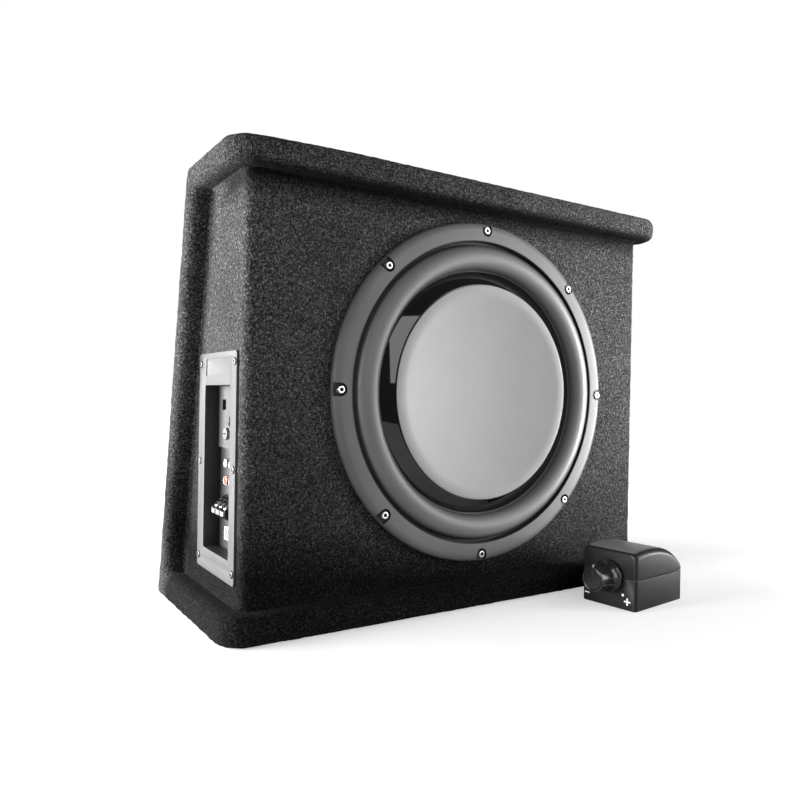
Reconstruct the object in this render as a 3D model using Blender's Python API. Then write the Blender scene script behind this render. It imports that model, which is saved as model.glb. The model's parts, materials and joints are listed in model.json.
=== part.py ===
"""Powered car subwoofer: wedge enclosure, shallow twelve-inch driver, side amplifier and loose level control.

Metres, +Z up. The origin is the centre of the enclosure's base, on the surface that it stands on.
The driver faces -Y, the amplifier bay opens to -X, and the back slopes.
"""
import math

import bmesh
import bpy
from mathutils import Matrix, Vector

MM = 0.001
GAP = 0.3                      # clearance between pieces that touch

# ---- enclosure -------------------------------------------------------------
WIDTH = 500.0                  # over the boards
HEIGHT = 400.0
BASE_DEPTH = 194.0             # bottom board, front to back
BACK_SLOPE = 0.195             # back leans forward by this much for each unit of height
SLAB = 24.0                    # top and bottom board with their carpet
BACK_SLAB = 18.0               # sloping back with its carpet
CARPET = 3.0
BOARD = 15.0                   # side boards
BAFFLE = 15.0
CORNER_R = 24.0                # plan radius of the front corners
SIDE_FACE = 230.5              # outer face of the side carpet
FRONT_Y = -BASE_DEPTH / 2      # front edge of top and bottom boards
FACE_Y = FRONT_Y + 19.0        # carpet face of the baffle
BACK_Y = BASE_DEPTH / 2

# ---- driver ----------------------------------------------------------------
DX, DZ = 6.0, 201.5            # driver axis
RING_R = 161.0
BOLT_R = 154.5
N_BOLTS = 8
BAFFLE_HOLE = 140.5
SEG = 36

# ---- amplifier bay ---------------------------------------------------------
BEZEL_Y = (-66.0, 29.5)
BEZEL_Z = (41.0, 231.5)
WELL_Y = (-52.7, 13.0)
WELL_Z = (59.5, 203.5)
BEZEL_X = -232.5               # outer face of the bezel
PANEL_X = -217.5               # outer face of the amplifier's end panel

# ---- loose level control ---------------------------------------------------
REMOTE_AT = (112.0, -183.0)    # front right foot of its face
REMOTE_TURN = math.radians(-83.2)
REMOTE_W, REMOTE_D, REMOTE_H = 60.0, 80.0, 56.5
REMOTE_SPLIT = 29.0
KNOB_LONG = 27.0

for old in list(bpy.data.objects):
    bpy.data.objects.remove(old, do_unlink=True)


# ---- tools -----------------------------------------------------------------
_mats = {}


def material(name, colour, rough, metal=0.0):
    if name not in _mats:
        m = bpy.data.materials.new(name)
        m.use_nodes = True
        b = m.node_tree.nodes["Principled BSDF"]
        b.inputs["Base Color"].default_value = (*colour, 1.0)
        b.inputs["Roughness"].default_value = rough
        b.inputs["Metallic"].default_value = metal
        _mats[name] = m
    return _mats[name]


MATS = {
    "carpet": ((0.03, 0.03, 0.032), 0.95, 0.0),
    "board": ((0.42, 0.30, 0.19), 0.8, 0.0),
    "ring": ((0.05, 0.05, 0.052), 0.4, 0.0),
    "rubber": ((0.03, 0.03, 0.03), 0.55, 0.0),
    "gloss": ((0.01, 0.01, 0.01), 0.08, 0.0),
    "disc": ((0.55, 0.56, 0.57), 0.35, 1.0),
    "paper": ((0.03, 0.03, 0.03), 0.9, 0.0),
    "spider": ((0.55, 0.33, 0.12), 0.9, 0.0),
    "copper": ((0.7, 0.32, 0.15), 0.35, 1.0),
    "steel": ((0.5, 0.5, 0.5), 0.3, 1.0),
    "ferrite": ((0.04, 0.04, 0.045), 0.6, 0.0),
    "basket": ((0.03, 0.03, 0.03), 0.5, 0.6),
    "bezel": ((0.55, 0.55, 0.55), 0.45, 0.0),
    "panel": ((0.33, 0.33, 0.34), 0.4, 0.8),
    "plate": ((0.5, 0.5, 0.5), 0.45, 0.0),
    "black": ((0.015, 0.015, 0.015), 0.35, 0.0),
    "white": ((0.8, 0.8, 0.78), 0.4, 0.0),
    "red": ((0.6, 0.06, 0.03), 0.4, 0.0),
    "pcb": ((0.02, 0.15, 0.06), 0.5, 0.0),
    "remote": ((0.02, 0.02, 0.02), 0.25, 0.0),
}


def paint(ob, slot):
    c, r, m = MATS[slot]
    ob.data.materials.clear()
    ob.data.materials.append(material(slot, c, r, m))


def finish(bm, name, slot, smooth=False, angle=35.0):
    bmesh.ops.recalc_face_normals(bm, faces=bm.faces[:])
    bmesh.ops.scale(bm, vec=(MM, MM, MM), verts=bm.verts[:])
    me = bpy.data.meshes.new(name)
    bm.to_mesh(me)
    bm.free()
    ob = bpy.data.objects.new(name, me)
    bpy.context.scene.collection.objects.link(ob)
    if smooth:
        me.shade_smooth()
        me.set_sharp_from_angle(angle=math.radians(angle))
    paint(ob, slot)
    return ob


def prism_bm(outline, low, high, axis):
    """A closed outline of (a, b) pairs swept along an axis: X takes (y, z), Y takes (x, z), Z takes (x, y)."""
    bm = bmesh.new()
    put = {
        "X": lambda p, t: (t, p[0], p[1]),
        "Y": lambda p, t: (p[0], t, p[1]),
        "Z": lambda p, t: (p[0], p[1], t),
    }[axis]
    a = [bm.verts.new(put(p, low)) for p in outline]
    b = [bm.verts.new(put(p, high)) for p in outline]
    n = len(outline)
    bm.faces.new(a[::-1])
    bm.faces.new(b)
    for i in range(n):
        bm.faces.new((a[i], a[(i + 1) % n], b[(i + 1) % n], b[i]))
    bmesh.ops.recalc_face_normals(bm, faces=bm.faces[:])
    return bm


def prism(name, outline, low, high, axis, slot, smooth=False):
    return finish(prism_bm(outline, low, high, axis), name, slot, smooth)


def box_bm(x, y, z):
    return prism_bm([(x[0], y[0]), (x[1], y[0]), (x[1], y[1]), (x[0], y[1])], z[0], z[1], "Z")


def box(name, x, y, z, slot, bevel=0.0, segments=1):
    bm = box_bm(x, y, z)
    if bevel:
        bmesh.ops.bevel(bm, geom=bm.edges[:], offset=bevel, segments=segments, affect="EDGES", profile=0.5)
    return finish(bm, name, slot, smooth=bool(bevel and segments > 1))


def rounded(x, y, r, n=4, corners=(1, 1, 1, 1)):
    """Outline of a rectangle with round corners, from the lower left one anticlockwise."""
    pts = []
    spots = [(x[0], y[0], 180), (x[1], y[0], 270), (x[1], y[1], 0), (x[0], y[1], 90)]
    for (cx, cy, start), on in zip(spots, corners):
        if not on or r <= 0:
            pts.append((cx, cy))
            continue
        ox = cx + r if cx == x[0] else cx - r
        oy = cy + r if cy == y[0] else cy - r
        for i in range(n + 1):
            t = math.radians(start + 90.0 * i / n)
            pts.append((ox + r * math.cos(t), oy + r * math.sin(t)))
    return pts


def turned_bm(profile, seg=SEG):
    """A closed (radius, height) loop turned about Z. Points on the axis share one vertex."""
    bm = bmesh.new()
    rings = []
    for r, h in profile:
        if r < 1e-6:
            rings.append([bm.verts.new((0, 0, h))])
        else:
            rings.append([bm.verts.new((r * math.cos(2 * math.pi * i / seg), r * math.sin(2 * math.pi * i / seg), h)) for i in range(seg)])
    n = len(rings)
    for k in range(n):
        a, b = rings[k], rings[(k + 1) % n]
        if len(a) == 1 and len(b) == 1:
            continue
        for i in range(seg):
            j = (i + 1) % seg
            if len(a) == 1:
                bm.faces.new((a[0], b[i], b[j]))
            elif len(b) == 1:
                bm.faces.new((a[i], b[0], a[j]))
            else:
                bm.faces.new((a[i], b[i], b[j], a[j]))
    bmesh.ops.recalc_face_normals(bm, faces=bm.faces[:])
    return bm


# turned pieces are drawn about Z, then stood on the axis they really have
TO_DRIVER = Matrix.Translation((DX, 0, DZ)) @ Matrix.Rotation(math.radians(-90), 4, "X")


def driver_piece(name, profile, slot, seg=SEG, angle=35.0):
    """Profile heights are world Y."""
    bm = turned_bm(profile, seg)
    bmesh.ops.transform(bm, matrix=TO_DRIVER, verts=bm.verts[:])
    return finish(bm, name, slot, smooth=True, angle=angle)


def cut(target, cutters, keep_name="cutter"):
    """Take the cutters away from the target with the exact solver."""
    for i, bm in enumerate(cutters):
        bmesh.ops.recalc_face_normals(bm, faces=bm.faces[:])
        bmesh.ops.scale(bm, vec=(MM, MM, MM), verts=bm.verts[:])
        me = bpy.data.meshes.new(keep_name)
        bm.to_mesh(me)
        bm.free()
        c = bpy.data.objects.new(f"{target.name}_{keep_name}_{i}", me)
        bpy.context.scene.collection.objects.link(c)
        c.hide_render = True
        c.display_type = "WIRE"
        mod = target.modifiers.new(f"cut_{i}", "BOOLEAN")
        mod.operation = "DIFFERENCE"
        mod.solver = "EXACT"
        mod.object = c
    return target


def pivot(ob, at):
    """Move an object's origin to a point in millimetres without moving its mesh."""
    p = Vector(at) * MM
    ob.data.transform(Matrix.Translation(-p))
    ob.location = p
    return ob


def placed(ob, matrix):
    ob.data.transform(matrix)
    return ob


def back_outer(z):
    return BACK_Y - BACK_SLOPE * z


SEC = math.hypot(1.0, BACK_SLOPE)


def back_inner(z, extra=0.0):
    """Y of the plane that lies the back's thickness, and extra, in front of its outer face."""
    return back_outer(z) - (BACK_SLAB + extra) * SEC


# ---- boards ----------------------------------------------------------------
TOP = HEIGHT - SLAB            # underside of the top slab
IN_LOW = SLAB - CARPET         # inner faces of the bottom and top boards
IN_HIGH = TOP + CARPET


def slab_outline(z, inset, corner):
    """Plan of a slab whose back edge lies on the back's plane at height z."""
    w = WIDTH / 2 - inset
    return rounded((-w, w), (FRONT_Y + inset, back_outer(z) - inset), corner, 5, (1, 1, 0, 0))


def slab_bm(z0, z1, inset, corner):
    """A slab with the slope of the back on its rear edge."""
    bm = prism_bm(slab_outline(0, inset, corner), z0, z1, "Z")
    for v in bm.verts:
        if v.co.y > 0:
            v.co.y = back_outer(v.co.z) - inset * SEC
    return bm


c_in = CARPET
top_board = finish(slab_bm(IN_HIGH, HEIGHT - c_in, c_in, CORNER_R - c_in), "top_board", "board")
bottom_board = finish(slab_bm(c_in, IN_LOW, c_in, CORNER_R - c_in), "bottom_board", "board")

w_in = WIDTH / 2 - c_in
back_profile = [
    (back_inner(IN_LOW + GAP, -c_in), IN_LOW + GAP),
    (back_outer(IN_LOW + GAP) - c_in * SEC, IN_LOW + GAP),
    (back_outer(IN_HIGH - GAP) - c_in * SEC, IN_HIGH - GAP),
    (back_inner(IN_HIGH - GAP, -c_in), IN_HIGH - GAP),
]
back_panel = prism("back_panel", back_profile, -w_in, w_in, "X", "board")

side_out = SIDE_FACE - c_in
baffle_front = FACE_Y + c_in
zb0, zb1 = IN_LOW + GAP, IN_HIGH - GAP
front_baffle = box("front_baffle", (-side_out, side_out), (baffle_front, baffle_front + BAFFLE), (zb0, zb1), "board")


def side_profile(y0, z0, z1):
    return [(y0, z0), (back_inner(z0, -c_in) - GAP, z0), (back_inner(z1, -c_in) - GAP, z1), (y0, z1)]


side_y0 = baffle_front + BAFFLE + GAP
left_side = prism("left_side_panel", side_profile(side_y0, zb0, zb1), -side_out, -side_out + BOARD, "X", "board")
right_side = prism("right_side_panel", side_profile(side_y0, zb0, zb1), side_out - BOARD, side_out, "X", "board")

# ---- carpet ----------------------------------------------------------------
# outer wrap: one felt over the top, back and bottom boards and their edges
outer_profile = [
    (FRONT_Y, 0), (BACK_Y, 0), (back_outer(HEIGHT), HEIGHT), (FRONT_Y, HEIGHT),
    (FRONT_Y, TOP), (back_inner(TOP), TOP), (back_inner(SLAB), SLAB), (FRONT_Y, SLAB),
]
bm = prism_bm(outer_profile, -WIDTH / 2, WIDTH / 2, "X")
corner_edges = [
    e for e in bm.edges
    if all(abs(v.co.y - FRONT_Y) < 1e-3 for v in e.verts)
    and abs(e.verts[0].co.x - e.verts[1].co.x) < 1e-3
]
bmesh.ops.bevel(bm, geom=corner_edges, offset=CORNER_R, segments=5, affect="EDGES", profile=0.5)
outer_wrap = finish(bm, "carpet_outer_wrap", "carpet", smooth=True, angle=40)


def grown(z0, z1, inset, corner):
    return slab_bm(z0, z1, inset, corner)


cut_boards = []
g = GAP
# the boards' own room, and the inside of the box between them
cut_boards.append(slab_bm(IN_HIGH - g, HEIGHT - c_in + g, c_in - g, CORNER_R - c_in + g))
cut_boards.append(slab_bm(c_in - g, IN_LOW + g, c_in - g, CORNER_R - c_in + g))
zi0, zi1 = IN_LOW, IN_HIGH
cut_boards.append(prism_bm([
    (back_inner(zi0, -c_in + g), zi0),
    (back_outer(zi0) - (c_in - g) * SEC, zi0),
    (back_outer(zi1) - (c_in - g) * SEC, zi1),
    (back_inner(zi1, -c_in + g), zi1),
], -w_in - g, w_in + g, "X"))
room = side_out + g
cut_boards.append(prism_bm([
    (baffle_front - g, zi0), (back_inner(zi0) + 6, zi0), (back_inner(zi1) + 6, zi1), (baffle_front - g, zi1),
], -room, room, "X"))
cut(outer_wrap, cut_boards)

# front wrap: one felt round the baffle and both side boards
zc0, zc1 = SLAB + GAP, TOP - GAP
r_edge = 8.0
so, si = SIDE_FACE, side_out + GAP
fo, fi = FACE_Y, baffle_front - GAP


def arc(cx, cy, r, a0, a1, n=4):
    return [(cx + r * math.cos(math.radians(a0 + (a1 - a0) * i / n)), cy + r * math.sin(math.radians(a0 + (a1 - a0) * i / n))) for i in range(n + 1)]


u_outline = (
    [(-so, 90)] + arc(-so + r_edge, fo + r_edge, r_edge, 180, 270) + arc(so - r_edge, fo + r_edge, r_edge, 270, 360) + [(so, 90)]
    + [(si, 90), (si, fi), (-si, fi), (-si, 90)]
)
front_wrap = prism("carpet_front_wrap", u_outline, zc0, zc1, "Z", "carpet", smooth=True)
behind = prism_bm([
    (back_inner(0) - GAP, 0), (140, 0), (140, HEIGHT), (back_inner(HEIGHT) - GAP, HEIGHT),
], -WIDTH, WIDTH, "X")


def driver_bm(profile, seg=SEG):
    bm = turned_bm(profile, seg)
    bmesh.ops.transform(bm, matrix=TO_DRIVER, verts=bm.verts[:])
    return bm


hole = [(0, -100), (BAFFLE_HOLE, -100), (BAFFLE_HOLE, -40), (0, -40)]


def bolt_spots():
    for i in range(N_BOLTS):
        a = 2 * math.pi * i / N_BOLTS
        yield DX + BOLT_R * math.sin(a), DZ + BOLT_R * math.cos(a), a


def cyl_bm(r, y0, y1, x, z, seg=8):
    bm = turned_bm([(0, y0), (r, y0), (r, y1), (0, y1)], seg)
    bmesh.ops.transform(bm, matrix=Matrix.Translation((x, 0, z)) @ Matrix.Rotation(math.radians(-90), 4, "X"), verts=bm.verts[:])
    return bm


def merged(parts):
    """Several shapes that stay clear of each other, as one cutter."""
    out = bmesh.new()
    for p in parts:
        me = bpy.data.meshes.new("tmp")
        p.to_mesh(me)
        p.free()
        out.from_mesh(me)
        bpy.data.meshes.remove(me)
    return out


screw_holes = lambda r, y0, y1: merged([cyl_bm(r, y0, y1, x, z) for x, z, _ in bolt_spots()])
bay = box_bm((-240, -200), (WELL_Y[0] - 3.6, WELL_Y[1] + 3.6), (WELL_Z[0] - 3.6, WELL_Z[1] + 3.6))
cut(front_wrap, [behind, driver_bm(hole), screw_holes(2.8, -90, -70), bay])
cut(front_baffle, [driver_bm(hole), screw_holes(2.5, -90, -50)])

# ---- driver ----------------------------------------------------------------
# cast frame: flange, sloping spokes, ledge for the spider and seat for the magnet
basket = driver_piece("driver_basket", [
    (158.0, -80.3), (158.0, -78.3), (138.5, -78.3), (138.5, -62.5), (99.5, -28.0), (74.0, -25.0), (65.0, -25.0),
    (61.5, -14.3), (40.0, -14.3), (40.0, -16.8), (59.0, -16.8), (62.5, -27.5), (74.5, -27.5), (98.5, -30.5),
    (136.0, -63.5), (136.0, -80.3),
], "basket")


def sector_bm(r0, r1, half_deg, mid_deg, y0, y1, n=2):
    """A block shaped like part of a ring, swept along Y about the driver axis."""
    pts = []
    for i in range(n + 1):
        t = math.radians(mid_deg - half_deg + 2 * half_deg * i / n)
        pts.append((DX + r1 * math.sin(t), DZ + r1 * math.cos(t)))
    for i in range(n + 1):
        t = math.radians(mid_deg + half_deg - 2 * half_deg * i / n)
        pts.append((DX + r0 * math.sin(t), DZ + r0 * math.cos(t)))
    return prism_bm(pts, y0, y1, "Y")


cut(basket, [
    merged([sector_bm(82, 127, 15.5, 22.5 + 45 * k, -60, -15) for k in range(8)]),
    screw_holes(2.8, -85, -75),
])

# visible trim ring over the flange, with a pocket at each screw
ring = driver_piece("trim_ring", [
    (143.5, -82.7), (143.5, -86.0), (144.6, -87.0), (154.5, -87.0), (158.2, -86.2), (160.3, -84.3), (161.0, -81.8),
    (161.0, -78.3), (158.8, -78.3), (158.8, -80.6), (152.6, -80.6), (152.6, -82.7),
], "ring", seg=48)


def pocket_bm(x, z, a, r=5.6):
    pts = []
    for i in range(6):
        t = math.pi * i / 5
        # half round on the inner side, straight sides out through the rim
        u, v = r * math.cos(t), -r * math.sin(t)
        pts.append((u, v))
    pts += [(-r, 14.0), (r, 14.0)]
    out = []
    for u, v in pts:
        out.append((x + u * math.cos(a) + v * math.sin(a), z - u * math.sin(a) + v * math.cos(a)))
    return prism_bm(out, -95, -83.3, "Y")


cut(ring, [merged([pocket_bm(x, z, a) for x, z, a in bolt_spots()]), screw_holes(2.8, -84, -77)])

# half-roll surround: outer foot under the ring, inner foot on the cone's lip
def half_arc(cr, cy, ra, rb, n, back=False):
    pts = []
    for i in range(n + 1):
        t = math.pi * i / n
        if back:
            t = math.pi - t
        pts.append((cr - ra * math.cos(t), cy - rb * math.sin(t)))
    return pts


roll = [(116.0, -82.3)] + half_arc(129.5, -82.3, 12.5, 10.7, 6) + [(152.0, -82.3), (152.0, -80.6)]
roll += half_arc(129.5, -80.7, 10.8, 10.2, 6, back=True) + [(116.0, -80.7)]
surround = driver_piece("surround", roll, "rubber")

cone = driver_piece("cone", [
    (121.0, -80.4), (121.0, -79.2), (108.0, -79.2), (28.4, -50.8), (28.4, -46.0), (26.4, -46.0), (26.4, -52.2), (107.6, -80.4),
], "paper")
cone_cover = driver_piece("cone_cover", [
    (115.0, -80.7), (115.0, -82.0), (102.6, -88.7), (0, -88.7), (0, -87.3), (101.9, -87.3), (110.5, -82.6), (110.5, -80.7),
], "gloss", seg=40)
cover_disc = driver_piece("cover_disc", [
    (0, -90.2), (101.4, -90.2), (102.0, -89.8), (102.0, -89.0), (0, -89.0),
], "disc", seg=40)
former = driver_piece("voice_coil_former", [
    (26.1, -53.0), (26.1, 0.0), (25.4, 0.0), (25.4, -53.0),
], "spider", seg=28)
winding = driver_piece("voice_coil_winding", [
    (27.6, -19.5), (27.6, -1.0), (26.4, -1.0), (26.4, -19.5),
], "copper", seg=28)

# spider: flat feet with rounded waves between them
waves = []
for i in range(10):
    r = 33.0 + 29.0 * i / 9
    waves.append((r, -29.6 - 1.6 * math.sin(2 * math.pi * 2.25 * i / 9)))
spider_top = [(26.5, -29.9)] + [(r, y - 0.35) for r, y in waves] + [(73.0, -28.8)]
spider_low = [(73.0, -27.8)] + [(r, y + 0.45) for r, y in reversed(waves)] + [(26.5, -29.0)]
spider = driver_piece("spider", spider_top + spider_low, "spider", seg=28)

top_plate = driver_piece("top_plate", [(28.6, -14.0), (60.0, -14.0), (60.0, -6.0), (28.6, -6.0)], "steel", seg=28)
magnet = driver_piece("magnet", [(36.0, -5.7), (69.0, -5.7), (70.0, -4.7), (70.0, 9.0), (69.0, 10.0), (36.0, 10.0)], "ferrite", seg=28)
yoke = driver_piece("pole_yoke", [
    (6.0, -13.5), (24.0, -13.5), (24.0, 10.3), (62.0, 10.3), (62.0, 16.0), (60.0, 18.3), (6.0, 18.3),
], "steel", seg=28)
# the tag strip stands on the frame's lowest spoke, behind its sloping wall
terminal = box("driver_terminal", (DX - 17, DX + 17), (-38.2, -28.0), (DZ - 124, DZ - 112), "black", 1.0)

# screws: socket heads with a hexagon recess
def socket_screw_bm(head_r, head_h, shank_r, length, hexa, deep, seg=16):
    """Head towards +Z with its underside at 0, shank towards -Z."""
    bm = bmesh.new()
    def ring_of(r, h, n=seg, turn=0.0):
        return [bm.verts.new((r * math.cos(2 * math.pi * i / n + turn), r * math.sin(2 * math.pi * i / n + turn), h)) for i in range(n)]
    tip = ring_of(shank_r, -length)
    neck = ring_of(shank_r, 0)
    under = ring_of(head_r, 0)
    side = ring_of(head_r, head_h * 0.72)
    rim = ring_of(head_r * 0.8, head_h)
    hx, hb = [], []
    for i in range(seg):
        # points on a hexagon, one for each point of the rim
        t = 2 * math.pi * i / seg
        k = math.pi / 3
        d = hexa * math.cos(k / 2) / math.cos((t % k) - k / 2)
        hx.append(bm.verts.new((d * math.cos(t), d * math.sin(t), head_h)))
        hb.append(bm.verts.new((d * math.cos(t), d * math.sin(t), head_h - deep)))
    bm.faces.new(tip[::-1])
    bm.faces.new(hb)
    for a, b in ((tip, neck), (neck, under), (under, side), (side, rim), (rim, hx), (hx, hb)):
        for i in range(seg):
            j = (i + 1) % seg
            bm.faces.new((a[i], a[j], b[j], b[i]))
    bmesh.ops.recalc_face_normals(bm, faces=bm.faces[:])
    return bm


TOWARD_FRONT = Matrix.Rotation(math.radians(90), 4, "X")          # +Z to -Y
TOWARD_LEFT = Matrix.Rotation(math.radians(-90), 4, "Y")          # +Z to -X
bm = socket_screw_bm(3.6, 4.0, 2.1, 27.0, 1.9, 2.2, 12)
driver_screw = finish(bm, "driver_screw_1", "steel", smooth=True)
driver_screw.data.transform(TOWARD_FRONT)
for i, (x, z, a) in enumerate(bolt_spots()):
    ob = driver_screw if i == 0 else bpy.data.objects.new(f"driver_screw_{i + 1}", driver_screw.data)
    if i:
        bpy.context.scene.collection.objects.link(ob)
    ob.location = (x * MM, -83.6 * MM, z * MM)
    ob.rotation_euler = (0, a, 0)

# ---- amplifier -------------------------------------------------------------
# moulded bezel: face frame with a blank badge recess, and the walls of the bay behind it
well_wall = 2.2
bezel = prism("amp_bezel", rounded(BEZEL_Y, BEZEL_Z, 3.0, 3), BEZEL_X, -SIDE_FACE - GAP, "X", "bezel")
sleeve = prism_bm(rounded((WELL_Y[0] - well_wall, WELL_Y[1] + well_wall), (WELL_Z[0] - well_wall, WELL_Z[1] + well_wall), 3.0, 3),
                  -SIDE_FACE - GAP - 0.5, PANEL_X - GAP, "X")
me = bpy.data.meshes.new("bezel_sleeve")
bmesh.ops.scale(sleeve, vec=(MM, MM, MM), verts=sleeve.verts[:])
sleeve.to_mesh(me)
sleeve.free()
sleeve_ob = bpy.data.objects.new("bezel_sleeve_tool", me)
bpy.context.scene.collection.objects.link(sleeve_ob)
sleeve_ob.hide_render = True
sleeve_ob.display_type = "WIRE"
join = bezel.modifiers.new("sleeve", "BOOLEAN")
join.operation = "UNION"
join.solver = "EXACT"
join.object = sleeve_ob
BEZEL_SCREWS = [(y, z) for z in (222.5, 135.0, 50.5) for y in (24.5, -62.4)]


def across_bm(r, x0, x1, y, z, seg=8):
    """A round bar along X."""
    bm = turned_bm([(0, x0), (r, x0), (r, x1), (0, x1)], seg)
    bmesh.ops.transform(bm, matrix=Matrix.Translation((0, y, z)) @ Matrix.Rotation(math.radians(90), 4, "Y"), verts=bm.verts[:])
    return bm


cut(bezel, [
    prism_bm(rounded(WELL_Y, WELL_Z, 2.0, 3), -240, -210, "X"),
    prism_bm(rounded((-51.5, 11.0), (211.5, 226.5), 1.0, 2), -240, BEZEL_X + 0.8, "X"),
    merged([across_bm(2.3, -240, -225, y, z) for y, z in BEZEL_SCREWS]),
])
bm = socket_screw_bm(3.4, 1.8, 1.7, 15.0, 1.6, 1.1, 9)
bezel_screw = finish(bm, "bezel_screw_1", "steel", smooth=True)
bezel_screw.data.transform(TOWARD_LEFT)
for i, (y, z) in enumerate(BEZEL_SCREWS):
    ob = bezel_screw if i == 0 else bpy.data.objects.new(f"bezel_screw_{i + 1}", bezel_screw.data)
    if i:
        bpy.context.scene.collection.objects.link(ob)
    ob.location = ((BEZEL_X - 0.3) * MM, y * MM, z * MM)
bores = merged([across_bm(2.0, -240, -205, y, z) for y, z in BEZEL_SCREWS])
cut(left_side, [
    box_bm((-260, -200), (WELL_Y[0] - 3.4, WELL_Y[1] + 3.4), (WELL_Z[0] - 3.4, WELL_Z[1] + 3.4)),
    merged([across_bm(2.0, -240, -205, y, z) for y, z in BEZEL_SCREWS if y > side_y0 + 3]),
])
cut(front_wrap, [bores])
front_screw_bores = merged([across_bm(2.0, -240, -205, y, z) for y, z in BEZEL_SCREWS if y < side_y0 + 3])
cut(front_baffle, [front_screw_bores])

# end panel of the amplifier, with holes for what comes through it
RCA = [(-25.5, 137.0), (-25.5, 122.5), (-38.5, 137.0), (-38.5, 122.5)]
end_panel = box("amp_end_panel", (PANEL_X, PANEL_X + 2.0), (WELL_Y[0] - 2.4, WELL_Y[1] + 2.4), (WELL_Z[0] - 2.4, WELL_Z[1] + 2.4), "panel")
SOCKET_Y, SOCKET_Z = -1.0, 186.5          # level control's socket
SWITCH_Y, SWITCH_Z = -18.0, 172.0
KNOBS = [("gain_knob", -10.5, 161.2), ("crossover_knob", -36.0, 161.2), ("bass_boost_knob", -36.0, 187.0)]
cut(end_panel, [
    merged([across_bm(3.3, -230, -210, y, z) for y, z in RCA]
           + [across_bm(2.5, -230, -210, y, z) for _, y, z in KNOBS]
           + [box_bm((-230, -210), (SOCKET_Y - 6.0, SOCKET_Y + 6.0), (SOCKET_Z - 6.0, SOCKET_Z + 6.0)),
              box_bm((-230, -210), (SWITCH_Y - 3.5, SWITCH_Y + 3.5), (SWITCH_Z - 4.5, SWITCH_Z + 4.5))]),
])

# raised plate that carries the controls
PLATE_X = PANEL_X - 2.2
plate = box("control_plate", (PLATE_X, PANEL_X - GAP), (WELL_Y[0] + 0.6, WELL_Y[1] - 0.6), (148.5, WELL_Z[1] - 0.6), "plate")
cut(plate, [
    merged([across_bm(2.5, -230, -210, y, z) for _, y, z in KNOBS]
           + [box_bm((-230, -210), (SOCKET_Y - 4.6, SOCKET_Y + 4.6), (SOCKET_Z - 4.6, SOCKET_Z + 4.6)),
              box_bm((-230, -210), (SWITCH_Y - 2.0, SWITCH_Y + 2.0), (SWITCH_Z - 4.0, SWITCH_Z + 4.0))]),
])


def knob_bm(stem_r, stem_len, r, height, seg=14):
    """A small fluted cap on a stem, along +Z, with the panel's face at 0."""
    prof = [(0, -stem_len), (stem_r, -stem_len), (stem_r, 0.3), (r, 0.3), (r, height - 0.5), (r - 0.5, height), (0, height)]
    return turned_bm(prof, seg)


for name, y, z in KNOBS:
    ob = finish(knob_bm(2.0, 6.0, 5.5, 2.6), name, "plate", smooth=True)
    cutter = box_bm((-0.6, 0.6), (-3.4, 3.4), (1.6, 5))
    cut(ob, [cutter])
    bpy.data.objects[f"{name}_cutter_0"].parent = ob
    ob.matrix_world = Matrix.Translation((PLATE_X * MM, y * MM, z * MM)) @ TOWARD_LEFT

switch = box("phase_switch_slider", (PLATE_X - 2.2, PLATE_X + 5.5), (SWITCH_Y - 1.5, SWITCH_Y + 1.5), (SWITCH_Z - 3.5, SWITCH_Z - 0.5), "black", 0.3)
pivot(switch, (PLATE_X, SWITCH_Y, SWITCH_Z - 2.0))

socket = box("remote_socket", (PLATE_X + 2.6, PLATE_X + 15.0), (SOCKET_Y - 5.6, SOCKET_Y + 5.6), (SOCKET_Z - 5.6, SOCKET_Z + 5.6), "black")
cut(socket, [box_bm((PLATE_X + 1, PLATE_X + 12.0), (SOCKET_Y - 4.4, SOCKET_Y + 4.4), (SOCKET_Z - 3.6, SOCKET_Z + 3.6))])

for i, (y, z) in enumerate(RCA):
    prof = [(0, -8), (3.0, -8), (3.0, 0.3), (5.4, 0.3), (5.4, 1.8), (4.15, 1.8), (4.15, 9.0), (3.4, 9.4), (1.6, 9.4), (1.6, 3.0), (0, 3.0)]
    ob = finish(turned_bm(prof, 12), f"rca_jack_{i + 1}", "white" if i % 2 == 0 else "red", smooth=True)
    ob.matrix_world = Matrix.Translation((PANEL_X * MM, y * MM, z * MM)) @ TOWARD_LEFT

# power terminals: a sloping black block with three bays
TB_Y = (-37.5, -4.5)
tb_x = PANEL_X - GAP
tb_profile = [(tb_x, 84.5), (-227.5, 90.0), (-231.0, 93.5), (-231.0, 97.5), (-222.0, 105.5), (tb_x, 108.0)]
bm = bmesh.new()
ends = []
for y in TB_Y:
    ends.append([bm.verts.new((x, y, z)) for x, z in tb_profile])
bm.faces.new(ends[0])
bm.faces.new(ends[1][::-1])
for i in range(len(tb_profile)):
    j = (i + 1) % len(tb_profile)
    bm.faces.new((ends[0][i], ends[0][j], ends[1][j], ends[1][i]))
block = finish(bm, "terminal_block", "black")
POLES = [TB_Y[0] + 5.5 + 11.0 * k for k in range(3)]
slope = math.atan2(105.5 - 97.5, 9.0)     # of the block's upper face


def bay_bm(y):
    """The open bay of one pole: a step down from the sloping face, open at the outer end."""
    return prism_bm([(y - 4.3, 0), (y + 4.3, 0), (y + 4.3, 1), (y - 4.3, 1)], 0, 1, "Z")


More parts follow.
